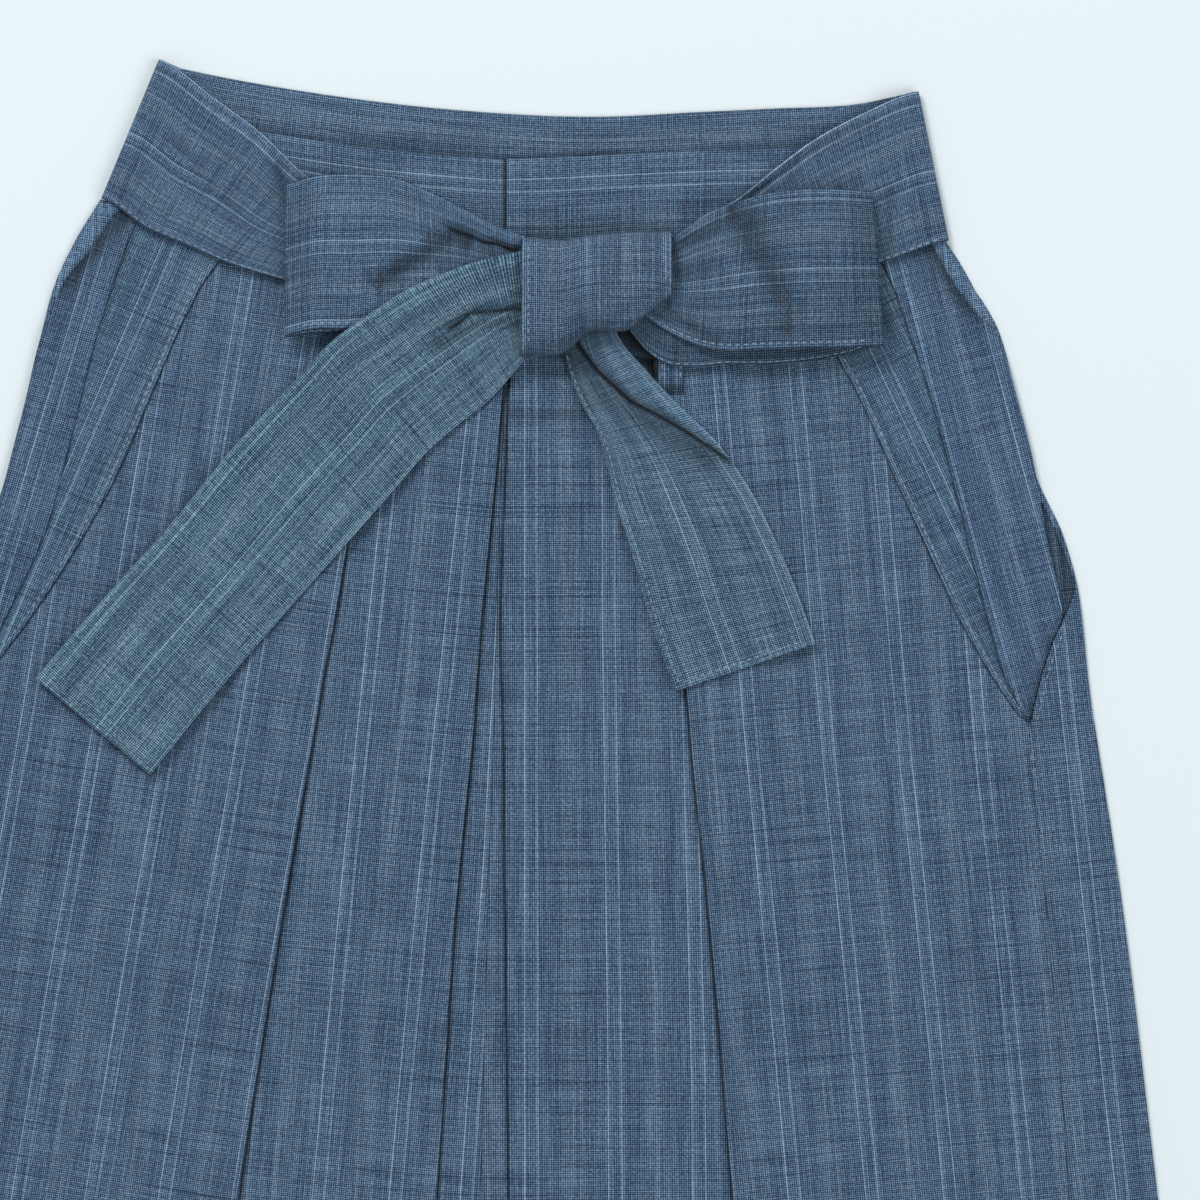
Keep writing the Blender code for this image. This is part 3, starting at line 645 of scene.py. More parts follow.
def makeFront(side):
    table = legTable(side)
    wall = cloth["wall"]
    radius = (level[1] - level[0]) / 2
    inset = wall / 2 + radius
    deepInner = table["innerFold"] + leg["centreDepth"]
    deepOuter = table["outerFold"] + leg["outerDepth"]

    # The tie holds the pleats down by the waist.
    loose = ease((-table["y"] - 105) / 55)[:, None]

    def comeDown(deep, fold):
        def height(x):
            past = x - fold[:, None] - inset
            puff = leg["foldPuff"] * loose * np.exp(-past / 7) * ease(past / 2.5)
            return level[3] + (level[1] - level[3]) * ease((x - deep[:, None] - 1) / leg["slope"]) + puff
        return height

    inner, outer, first = table["innerFold"], table["outerFold"], table["centre"] + 0.15
    parts = [
        (0, column(first, level[1])),
        (0, besideEdge(first, deepInner - inset, inner, level[1], 4, 8)),
        (0, turnOf(deepInner, 1, level[1], level[2], wall, 4)),
        (1, stretchOf(deepInner - inset, inner + inset, level[2], 5)),
        (1, (*turnOf(inner, -1, level[2], level[3], wall, 7), paintedFoldShade(7))),
        (1, besideEdge(inner + inset, deepOuter - inset, outer, comeDown(deepInner, inner), 30, 12)),
        (2, turnOf(deepOuter, 1, level[1], level[2], wall, 4)),
        (2, stretchOf(deepOuter - inset, outer + inset, level[2], 5)),
        (2, (*turnOf(outer, -1, level[2], level[3], wall, 7), paintedFoldShade(7))),
        (2, besideEdge(outer + inset, table["frontEnd"], table["sidePleat"], comeDown(deepOuter, outer),
                       48, 4)),
        (2, column(table["frontEnd"], level[1])),
    ]
    panel = np.concatenate([np.full(part[0].shape[1], number) for number, part in parts])
    x = np.concatenate([part[0] for number, part in parts], axis=1)
    z = np.concatenate([part[1] for number, part in parts], axis=1)
    # Painted shade and highlight: each fold edge, the shadow beside each edge that lies on the cloth (beside
    # the side pleat only above the opening), and the gap beside the knot.
    shades = [np.broadcast_to(part[2] if len(part) > 2 else 1.0, part[0].shape) for number, part in parts]
    above = (table["y"] > legRows[side][-1][0])[:, None]
    shades[-2] = np.where(above, shades[-2], 1.0)
    shade = np.concatenate(shades, axis=1)
    grid = hungGrid(side, x, z, table["y"], side)
    shade = shade * paintedShadeOf(grid, legPaintedShades[side])
    names = (("centreLeft", "innerLeft", "outerLeft") if side == "left"
             else ("centreRight", "centreRight", "outerRight"))
    patterns = np.stack([patternOf(grid, stripeRows[name]) for name in names])
    pattern = patterns[panel, :, np.arange(len(panel))].swapaxes(0, 1)
    grid = settle(grid, legCreases[side], 3 if side == "left" else 5)
    grid[..., 2] += leg["frontShare"] * seamPucker(grid, table, 0.0)
    legPiece(side, "front", grid, pattern, shade)


def makeBack(side):
    table = legTable(side)
    wall = cloth["wall"]
    radius = (level[1] - level[0]) / 2
    y = table["y"]
    waist = 1 - ease((-y - leg["rollEnd"][side]) / leg["rollFade"])
    opening = ease((-y - 255) / 30) * (1 - ease((-y - 314) / 12))
    rise = (leg["rollHeight"] * waist + leg["openingHeight"] * opening)[:, None]

    crown = (leg["rollCrown"] * waist)[:, None]
    flatEnd = table["outline"] - wall / 2 - radius

    def edgeOver(x):
        width = np.maximum(flatEnd - table["turn"], 0.5)[:, None]
        t = np.clip((flatEnd[:, None] - x) / width, 0, 1)
        return level[1] + rise * ease(t) + crown * np.sin(t * math.pi)

    end = table["turn"]
    flatPart = stretchOf(table["centre"] + 0.15, flatEnd, level[0], leg["backSteps"], inner=False)
    parts = [
        (flatPart[0][:, :-1], flatPart[1][:, :-1]),
        turnOf(table["outline"], 1, level[0], level[1], wall, leg["turnSteps"]),
        stretchOf(flatEnd, end + 0.4, edgeOver, 9),
        column(end + 0.4, edgeOver),
        column(end, lambda x: edgeOver(x) - cloth["edgeDrop"]),
    ]
    x = np.concatenate([part[0] for part in parts], axis=1)
    z = np.concatenate([part[1] for part in parts], axis=1)
    rolled = np.arange(x.shape[1]) > leg["backSteps"] + leg["turnSteps"] // 2
    corner = abs(tieFold[side][1][0]) - 1
    tuck = 0.7 + leg["backTuck"] * ease((corner - x) / 5)
    grid = hungGrid(side, x, z, y, "back", tuck=np.where(rolled, tuck, 0.0))
    # Painted shade: the inside of the back is coloured darker between the side panel and the turned edge,
    # where it lies in shadow.
    inside = ease((-y - 150) / 40) * (1 - ease((-y - 262) / 12))
    shade = np.ones(x.shape)
    shade[:, leg["backSteps"] - 4:leg["backSteps"] + 3] -= 0.5 * inside[:, None]
    middle = leg["backSteps"] + leg["turnSteps"] // 2
    over = np.linspace(0, 1, x.shape[1] - middle)
    # Painted highlight along the crown of the rolled edge by the waist.
    shade[:, middle:] += leg["rollPaintedLight"] * waist[:, None] * np.sin(over * math.pi)
    # Painted shadow at the end of the turned edge, deeper at the foot of the opening.
    shade[:, -1] = 0.8 - 0.25 * opening
    pattern = patternOf(grid, stripeRows["back" + side.capitalize()])
    grid = settle(grid, legCreases[side], 7 if side == "left" else 9)
    grid[..., 2] += rolled * seamPucker(grid, table, 0.9)
    legPiece(side, "back", grid, pattern, shade)
    return grid, y


def curledStart(start, height, drop):
    # A turned edge: the cloth rounds down to the layer under it.
    steps = np.array([0.0, 0.12, 0.4, 0.85, 1.5])
    x = start[:, None] + steps
    z = height[:, None] - drop * np.array([1.0, 0.62, 0.26, 0.06, 0.0])
    return x, np.broadcast_to(z, x.shape)


def makeSidePleat(side):
    table = upperTable(side)
    start, slack = table["sidePleat"], table["ease"]
    low = level[2] - (level[1] - level[0]) * slack
    onFront = start + leg["underlap"] * slack + 1.3
    end = np.minimum(table["sideFold"] + leg["underlap"] * slack + 1.5, table["turn"] - 0.5)
    end = np.maximum(end, start + 2.2)

    def comeDown(x):
        run = 9 * slack[:, None] + 0.4
        return level[2] + (low - level[2])[:, None] * ease((x - onFront[:, None]) / run)

    under = besideEdge(start + 1.5, end, table["sideFold"], comeDown, 16, 4)
    first = curledStart(start, np.full_like(start, level[2]), cloth["edgeDrop"])
    parts = [first, under, column(end, comeDown)]
    x = np.concatenate([part[0] for part in parts], axis=1)
    z = np.concatenate([part[1] for part in parts], axis=1)
    # Painted shadow and highlight beside the stitched edge, and painted shadow beside the side panel's fold
    # lying on the pleat.
    shade = np.ones(x.shape)
    shade[:, :5] = leg["pleatEdgePaintedShade"]
    shade[:, 5:-1] = 1 - (1 - under[2]) * edgeLine["sideStrength"][side]
    grid = hungGrid(side, x, z, table["y"], side)
    pattern = patternOf(grid, stripeRows["sidePleat" + side.capitalize()])
    grid = settle(grid, legCreases[side], 11, height=0.4)
    legPiece(side, "sidePleat", grid, pattern, shade)
    return grid


def makeSidePanel(side):
    table = upperTable(side)
    waist = 1 - ease((-table["y"] - leg["rollEnd"][side]) / leg["rollFade"])
    foot = ease((-table["y"] - 258) / 20)
    start, slack = table["sideFold"], table["ease"]
    end = table["border"] + leg["rollCover"] * waist
    high = level[3] - (level[1] - level[0]) * slack
    onPleat = start + leg["underlap"] * slack + 2.0

    def comeDown(x):
        run = np.maximum(end - onPleat, 1.0)[:, None]
        return high[:, None] + (level[2] - high)[:, None] * ease((x - onPleat[:, None]) / run)

    parts = [curledStart(start, high, cloth["edgeDrop"]), stretchOf(start + 1.5, end, comeDown, 24),
             column(end, lambda x: comeDown(x) - 0.15)]
    x = np.concatenate([part[0] for part in parts], axis=1)
    z = np.concatenate([part[1] for part in parts], axis=1)
    # Painted shadow under the rolled edge by the waist and at the foot of the opening, and painted shadow
    # beside the curled start.
    fromEnd = end[:, None] - x
    shade = 1 - 0.62 * waist[:, None] * np.exp(-(((fromEnd - leg["rollCover"]) / 6.5) ** 2))
    shade -= 0.5 * foot[:, None] * np.exp(-((fromEnd / 3.0) ** 2))
    shade[:, :3] *= 1 - np.array([0.6, 0.3, 0.05]) * edgeLine["sideStrength"][side]
    # Past the end of the front waistband the panel runs up inside the fold of the tie.
    corner = abs(tieFold[side][1][0]) - 1
    tuck = leg["panelTuck"] * ease((x - corner + 12) / 3) * ease((corner - x) / 4)
    grid = hungGrid(side, x, z, table["y"], side, tuck=tuck)
    pattern = patternOf(grid, stripeRows["sidePanel" + side.capitalize()])
    grid = settle(grid, legCreases[side], 13, height=0.4)
    legPiece(side, "sidePanel", grid, pattern, shade)


sidePleats = {}
backs = {}
for side in ("left", "right"):
    backs[side] = makeBack(side)
    makeFront(side)
    sidePleats[side] = makeSidePleat(side)
    makeSidePanel(side)
print("legs made")


# Ties, bands and bow

def acrossSteps(count, width):
    # Shares of the width, with extra columns where each edge rounds off.
    inside = np.linspace(1.6 / width, 1 - 1.6 / width, count - 5)
    return np.concatenate([[0, 0.15 / width, 0.6 / width], inside, [1 - 0.6 / width, 1 - 0.15 / width, 1]])


def ribbon(rows, length, count, width, phase, bow=1.0, drop=0.35, cutEnds=""):
    # A strip between two edges, and the distance from them. Rows hold both edges, then their heights.
    values = np.array([[*first, firstZ, *second, secondZ] for first, second, firstZ, secondZ in rows], float)
    middle = (values[:, :3] + values[:, 3:]) / 2
    keys = np.concatenate([[0], np.cumsum(np.linalg.norm(np.diff(middle, axis=0), axis=1))])
    at = np.linspace(0, keys[-1], length)
    if "start" in cutEnds:
        at = np.concatenate([[0, 0.15, 0.6, 1.3], at[at > 1.9]])
    if "end" in cutEnds:
        at = np.concatenate([at[at < keys[-1] - 1.9], keys[-1] - np.array([1.3, 0.6, 0.15, 0])])
    dense = smoothTable(keys, values, at, free=True)
    t = acrossSteps(count, width)
    first, second = dense[:, None, :3], dense[:, None, 3:]
    grid = first + (second - first) * t[None, :, None]
    grid[..., 2] = second[..., 2] + (first[..., 2] - second[..., 2]) * (1 - t[None, :]) ** bow
    edge = np.broadcast_to(np.minimum(t, 1 - t) * width, grid.shape[:2])
    if "start" in cutEnds:
        edge = np.minimum(edge, at[:, None])
    if "end" in cutEnds:
        edge = np.minimum(edge, (keys[-1] - at)[:, None])
    grid[..., 2] -= drop * np.exp(-((edge / 0.55) ** 2))
    u = np.broadcast_to(t * width - phase, grid.shape[:2])
    v = np.broadcast_to(at[:, None], grid.shape[:2])
    return grid, np.stack([u, v], axis=-1) * mm, edge


def paintedEdgeShade(edge, light=0.2):
    # Painted highlight just inside a turned edge where it catches the light, and painted shade where it goes
    # under.
    return 1 + light * np.exp(-(((edge - 1.1) / 0.7) ** 2)) - 0.5 * np.exp(-((edge / 0.4) ** 2))


tieWidth = 80.0
foldRun = 12.0


def foldInside(side, run):
    # The tie's side fold, moved back along the band by run.
    top, bottom = (np.array(point) for point in tieFold[side])
    edge = (top - bottom) / np.linalg.norm(top - bottom)
    inwards = np.array((edge[1], -edge[0])) * (1 if side == "left" else -1)
    return top + inwards * run, bottom + inwards * run


backBand = {
    "rows": (
        ((-148, 21.7), (-163, -57)),
        ((-93.8, 12.7), (-102.8, -66.8)),
        ((-23.9, 4.8), (-28.5, -75)),
        ((47.7, 1.6), (47.7, -78.4)),
        ((98.6, 4), (101, -76)),
        ((136.7, 5.8), (141, -74)),
        ((185.5, 8.5), (193.5, -70.5)),
    ),
    "height": 0.75,
    "wall": 1.1,
    "stripePhase": 30.0,
    # Painted shadow along the upper edge of the front, which lies on this band, and a broader, fainter
    # painted shade along it.
    "shades": (
        (((-192, 4.6), (-166, 1.6), (-134.6, -4.4), (-84.8, -12.4), (-40, -17.2), (-2.6, -19.8),
          (47.7, -17.6), (108.7, -15), (150, -13.8), (205, -10.5)), 1.6, -0.36),
        (((-150, 2), (-110, -5), (-60, -11), (20, -14), (100, -10), (170, -8)), 6, -0.14),
    ),
    "flat": (0.08, 0.43),
}
frontBands = {
    "left": {
        "rows": (
            ((-192, 3), (-203, -50)),
            ((-166, 0), (-176, -58)),
            ((-134.6, -5.8), (-134.6, -65.8)),
            ((-84.8, -13.8), (-84.8, -73.7)),
            ((-40, -18.6), (-40, -78.6)),
            ((-2.6, -21.2), (-2.6, -81.2)),
            ((12, -21.2), (12, -81.2)),
        ),
        # Painted shadow beside the right band's fly edge, and soft painted shade in a fold by the knot.
        "shades": (
            (((-2.6, -18), (-2.6, -84)), 1.4, -0.8),
            (((-30, -50), (-12, -54), (-4, -60)), 7, -0.12),
        ),
        "flat": (0.06, 0.205),
    },
    "right": {
        "rows": (
            ((-1.5, -21), (-1.5, -81)),
            ((16, -20.5), (16, -80.5)),
            ((24, -20.2), (24, -80.2)),
            ((47.7, -19), (47.7, -79)),
            ((108.7, -16.4), (108.7, -76.4)),
            ((150, -15.2), (150, -75)),
            ((205, -12), (200, -71.5)),
            ((208, -11.5), (212, -68)),
        ),
        # Soft painted shade along a fold, and a painted highlight just inside the fly edge.
        "shades": (
            (((0, -57), (30, -57.5), (88, -59)), 5, -0.22),
            (((4, -24), (4.6, -50), (4, -78)), 1.6, 0.1),
        ),
        "flat": (0.06, 0.215),
    },
    "height": 2.4,
    "flyRise": 1.5,  # the right band's end lies over the left's
    "flyEnd": 17.0,
    "flyRun": 12.0,
    "stripePhase": 10.5,
}


def makeBands():
    rows = [foldInside("left", foldRun + cloth["gap"]), *backBand["rows"],
            foldInside("right", foldRun + cloth["gap"])]
    rows = [(top, bottom, backBand["height"], backBand["height"]) for top, bottom in rows]
    grid, pattern, edge = ribbon(rows, 130, 68, tieWidth, backBand["stripePhase"], drop=0.15)
    clothPiece("backWaistband", grid, pattern, backBand["wall"], clothOf["waistband"],
               "back_waistband", backBand["flat"],
               shade=paintedEdgeShade(edge) * paintedShadeOf(grid, backBand["shades"]))
    for side in ("left", "right"):
        band = frontBands[side]
        high = frontBands["height"]
        rows = [(top, bottom, high, high) for top, bottom in band["rows"]]
        grid, pattern, edge = ribbon(rows, 200, 40, 60, frontBands["stripePhase"], drop=0.3,
                                     cutEnds="start" if side == "right" else "")
        if side == "right":
            past = (grid[..., 0] - frontBands["flyEnd"]) / frontBands["flyRun"]
            grid[..., 2] += frontBands["flyRise"] * (1 - ease(past))
        grid[..., 2] += np.clip(waver(grid[..., 0], grid[..., 1], 70, 0.35, 2), -0.25, 0.4)
        clothPiece(side + "FrontWaistband", grid, pattern, cloth["bandWall"], clothOf["waistband"],
                   "front_waistband_" + side, band["flat"],
                   shade=paintedEdgeShade(edge, 0.28) * paintedShadeOf(grid, band["shades"]))


makeBands()
print("waistbands made")

wraps = {
    "left": {
        "rows": (
            ((-156.9, 11.7), (-193, -57), 6, 6),
            ((-132.5, -6.4), (-172, -66), 6, 6),
            ((-108, -29.7), (-148, -76.3), 6, 6),
            ((-84, -44), (-118, -85.3), 6, 6),
            ((-45, -58), (-62, -103), 6, 6),
            ((-5, -66), (-10, -113), 6, 6),
            ((42, -71), (42, -117), 6, 6),
        ),
        "creases": (
            (((-181, -6), (-173.3, -12.2), (-159.5, -32.3), (-140, -46)), 4.5, -1.3),
            (((-185, -14), (-172, -27), (-158, -40)), 4, 0.8),
            (((-196, -24), (-176, -36), (-150, -50), (-122, -62)), 8, 0.9),
            (((-170, 4), (-146, -12), (-118, -36)), 7, 0.5),
        ),
        # Painted shade in the crease, a painted highlight on a ridge, and painted shadow beside the loop.
        "shades": (
            (((-181, -8), (-173.3, -14), (-159.5, -34), (-140, -48)), 3.2, -0.2),
            (((-178, -2), (-165, -18), (-150, -36)), 3.0, 0.1),
            (((-124, -20), (-116, -52), (-117, -90)), 3.0, -0.4),
        ),
        "stripePhase": 41.7,
        "flat": (0.08, 0.245),
    },
    "right": {
        "rows": (
            ((189.7, 4.8), (205, -73), 6, 6),
            ((161, -10.6), (183, -81), 6, 6),
            ((141, -25.4), (162, -91), 6, 6),
            ((118.7, -43), (138, -104), 6, 6),
            ((100.7, -52), (112, -117), 6, 6),
            ((86, -64), (88, -127), 6, 6),
            ((66, -70), (64, -125), 6, 6),
            ((43, -73), (43, -118), 6, 6),
        ),
        "creases": (
            (((196, 3), (161, -15), (141, -30), (118.7, -47.5), (96, -60)), 1.6, -1.3),
            (((196, 7), (161, -11.5), (141, -26.5), (118.7, -44), (96, -56)), 1.7, 1.2),
            (((206, -8), (188, -20), (170, -34)), 7, 0.7),
            (((214, -30), (205, -42), (196, -56)), 8, -0.7),
        ),
        # Painted shadow below the pressed crease, painted shade by the loop's fold, and the deep gap beside
        # the knot painted nearly black.
        "shades": (
            (((196, 1.5), (161, -16.5), (141, -31.5), (118.7, -49), (96, -61)), 1.3, -0.5),
            (((202, -34), (200, -60), (199, -90)), 3.4, -0.35),
            (((52, -108), (60, -111), (67, -117), (76, -126), (82, -132)), 9, -0.95),
        ),
        "stripePhase": 42.0,
        "flat": (0.08, 0.205),
    },
    "height": 6.0,
    "tone": 0.965,
    "liftRun": 1.5,  # creases fade in over this much of the height
    "deepest": -0.9,
}


def makeWrap(side):
    wrap = wraps[side]
    low, high = backBand["height"], wraps["height"]
    rows = [(*foldInside(side, foldRun), low, low), (*foldInside(side, foldRun / 2), low, low)]
    for step in range(9):
        angle = math.pi * step / 8
        top, bottom = foldInside(side, (high - low) / 2 * (1 - math.sin(angle)))
        z = (high + low) / 2 - math.cos(angle) * (high - low) / 2
        rows.append((top, bottom, z, z))
    rows += wrap["rows"]
    grid, pattern, edge = ribbon(rows, 210, 54, tieWidth, wrap["stripePhase"])
    rise = grid[..., 2] - high + wraps["liftRun"]
    top = rise > 0
    lift = creaseLift(grid[..., 0], grid[..., 1], wrap["creases"])
    lift += waver(grid[..., 0], grid[..., 1], 60, 0.5, 4)
    grid[..., 2] += np.where(top, np.maximum(lift, wraps["deepest"]), 0) * ease(rise / wraps["liftRun"])
    # Painted shade and highlight on the upper face, with painted edge light and shade.
    shade = paintedEdgeShade(edge) * wraps["tone"] * np.where(top, paintedShadeOf(grid, wrap["shades"]), 1)
    clothPiece(side + "TieWrap", grid, pattern, cloth["tieWall"], clothOf["tie"],
               "tie_wrap_" + side, wrap["flat"],
               shade=shade)
    return grid


loops = {
    "left": {
        "rows": (
            ((-118, -35), (-118.7, -114.5), 12.5, 12.5, 1.5),
            ((-113, -33), (-114, -113), 14.6, 13.4, 1.8),
            ((-104, -31), (-106, -111.5), 15.8, 14, 2.0),
            ((-79.5, -30), (-84, -110.7), 17, 14, 1.5),
            ((-60, -32), (-60, -107.5), 17, 13, 0.0),
            ((-42, -39.5), (-40, -103), 16.5, 12.6, 0.0),
            ((-22, -49.5), (-20, -98), 16, 12.3, 0.0),
            ((-8, -57), (-6, -96), 15.5, 12.2, 0.0),
            ((8, -63), (8, -95), 15, 12.2, 0.0),
        ),
        "creases": (
            (((-40, -57), (-28.6, -59), (-21, -62), (-14.3, -65), (-6.9, -65.6), (0.5, -69), (14, -70)),
             1.7, -5.0),
            (((-42, -49), (-24, -54), (-10, -60), (2, -64), (14, -66)), 3.4, 2.6),
            (((-18, -64), (-30, -63), (-46, -74), (-64, -86), (-84, -96)), 7, -4.2),
            (((-12, -72), (-34, -82), (-54, -94), (-76, -104)), 7, 1.4),
            (((-50, -47), (-72, -56), (-100, -60)), 11, 0.9),
            (((-116, -62), (-96, -66), (-70, -70)), 9, -0.8),
            (((-114, -92), (-96, -94), (-76, -92)), 7, 0.8),
            (((-106, -42), (-84, -40), (-60, -42)), 6, -0.6),
        ),
        # Painted shadow under the crease and in the trough below it, a painted highlight on the ridge above,
        # and soft painted shade by the fold.
        "shades": (
            (((-34, -57.5), (-24, -61.6), (-14.3, -66), (-6.9, -66.6), (0.5, -70), (12, -71)), 1.1, -0.4),
            (((-16, -65.5), (-6.9, -66.6), (0.5, -70), (12, -71)), 1.0, -0.45),
            (((-34, -53), (-20, -57.5), (-8, -61.5), (6, -66)), 1.8, 0.18),
            (((-18, -66), (-30, -62), (-44, -71.5), (-60, -80.5), (-74, -90)), 5.5, -0.55),
            (((8, -74), (-12, -71), (-26, -71), (-40, -80)), 4.5, -0.32),
            (((-44, -62), (-58, -71), (-74, -80)), 4, 0.1),
            (((-113, -60), (-112, -90)), 4, -0.08),
        ),
        "tone": 1.0,
        "stripePhase": 33.9,
        "flat": (0.08, 0.25),
    },
    "right": {
        "rows": (
            ((191.3, -39), (197.7, -119.8), 12.5, 12.5, 0.5),
            ((187, -38.4), (191, -120.2), 14.6, 14, 1.6),
            ((177, -38), (180, -120.8), 16, 15, 3.0),
            ((155, -38), (155, -121.4), 18, 16, 7.0),
            ((135.7, -40.3), (133.6, -121.9), 18.5, 16, 8.0),
            ((118.7, -45), (114, -122.4), 18, 15, 7.5),
            ((101, -53.5), (98, -119), 16, 13.5, 12.0),
            ((83, -64.5), (80, -110), 13.5, 12.6, 18.0),
            ((75, -66), (72, -104.5), 13.0, 12.4, 17.5),
            ((68, -67), (64, -101), 12.8, 12.2, 11.5),
        ),
        "creases": (
            (((116, -34), (123, -50.4), (131.4, -70), (139.4, -82.7), (146.8, -100.2), (146, -124)),
             8.5, -6.0),
            (((104, -58), (116, -72), (124, -90), (128, -106)), 8, 1.4),
            (((160, -48), (164, -70), (166, -96)), 13, 1.2),
            (((80, -70), (96, -66), (112, -60), (126, -52)), 3.2, -1.5),
            (((80, -66), (96, -60.5), (112, -54)), 3.0, 1.2),
            (((80, -78), (98, -77), (118, -73)), 4.5, 0.8),
            (((80, -86), (96, -88), (112, -88)), 4.0, -1.2),
            (((80, -96), (92, -101), (108, -106), (122, -109)), 4.5, 1.2),
            (((80, -103), (90, -109), (102, -114)), 2.4, -1.4),
            (((186, -62), (178, -84), (184, -108)), 8, -0.6),
        ),
        # Painted shade in the valley and the folds near the knot, and painted highlights on the ridges.
        "shades": (
            (((114, -40), (122, -49), (131.4, -70), (139.4, -84), (146.8, -102), (145, -116)), 5.5, -0.4),
            (((111, -40), (118, -50), (127.4, -70), (136, -86)), 2.2, -0.14),
            (((82, -70), (94, -62), (108, -55), (120, -51)), 4.5, -0.22),
            (((108, -60), (116, -74), (124, -92)), 4.5, 0.1),
            (((154, -50), (158, -76), (160, -100)), 8, 0.08),
            (((80, -99), (90, -105), (100, -112), (112, -118)), 3.0, -0.35),
            (((184, -104), (168, -112), (140, -114)), 7, -0.12),
        ),
        "tone": 0.85,
        "stripePhase": 39.4,
        "flat": (0.08, 0.235),
    },
    "backHeight": 9.3,
    "clearance": 1.3,  # least height of the front face over the back one
    "crown": 1.2,
    "foldRoundness": 0.55,
}


def makeLoop(side):
    # Out from the knot behind, round at the fold and back in front.
    loop = loops[side]
    table = loop["rows"]
    low = loops["backHeight"]
    rows = []
    for first, second, *heights, lower in reversed(table[2:]):
        rows.append((first, (second[0], second[1] - lower), low, low))
    end, near = table[0], table[2]
    for step in range(1, 8):
        angle = math.pi * step / 8
        share = (1 - math.cos(angle)) / 2
        edges = []
        for which in (0, 1):
            out = math.sin(angle) ** loops["foldRoundness"]
            x = near[which][0] + (end[which][0] - near[which][0]) * out
            y = near[which][1] + (end[which][1] - near[which][1]) * out
            edges.append((x, y - (end[4] * (1 - share) if which else 0)))
        rows.append((*edges, low + (near[2] - low) * share, low + (near[3] - low) * share))
    rows += [row[:4] for row in table[2:]]
    grid, pattern, edge = ribbon(rows, 270, 60, tieWidth, loop["stripePhase"])
    middle = np.linspace(0, 1, grid.shape[0])[:, None]
    front = ease((middle - 0.5) / 0.12)
    lift = creaseLift(grid[..., 0], grid[..., 1], loop["creases"])
    lift += waver(grid[..., 0], grid[..., 1], 55, 0.7, 6)
    crown = np.sin(np.linspace(0, math.pi, grid.shape[1]))[None, :] ** 0.6
    grid[..., 2] += front * (lift + crown * loops["crown"])
    grid[..., 2] = np.where(middle > 0.55, np.maximum(grid[..., 2], low + loops["clearance"]), grid[..., 2])
    # Painted edge light and shade and painted shade lines on the front face; the back face is painted
    # darker.
    shade = paintedEdgeShade(edge, 0.42) * loop["tone"] * np.where(front > 0.5, paintedShadeOf(grid, loop["shades"]), 0.8)
    clothPiece(side + "BowLoop", grid, pattern, cloth["tieWall"], clothOf["tie"],
               "bow_loop_" + side, loop["flat"], shade=shade)
    return grid


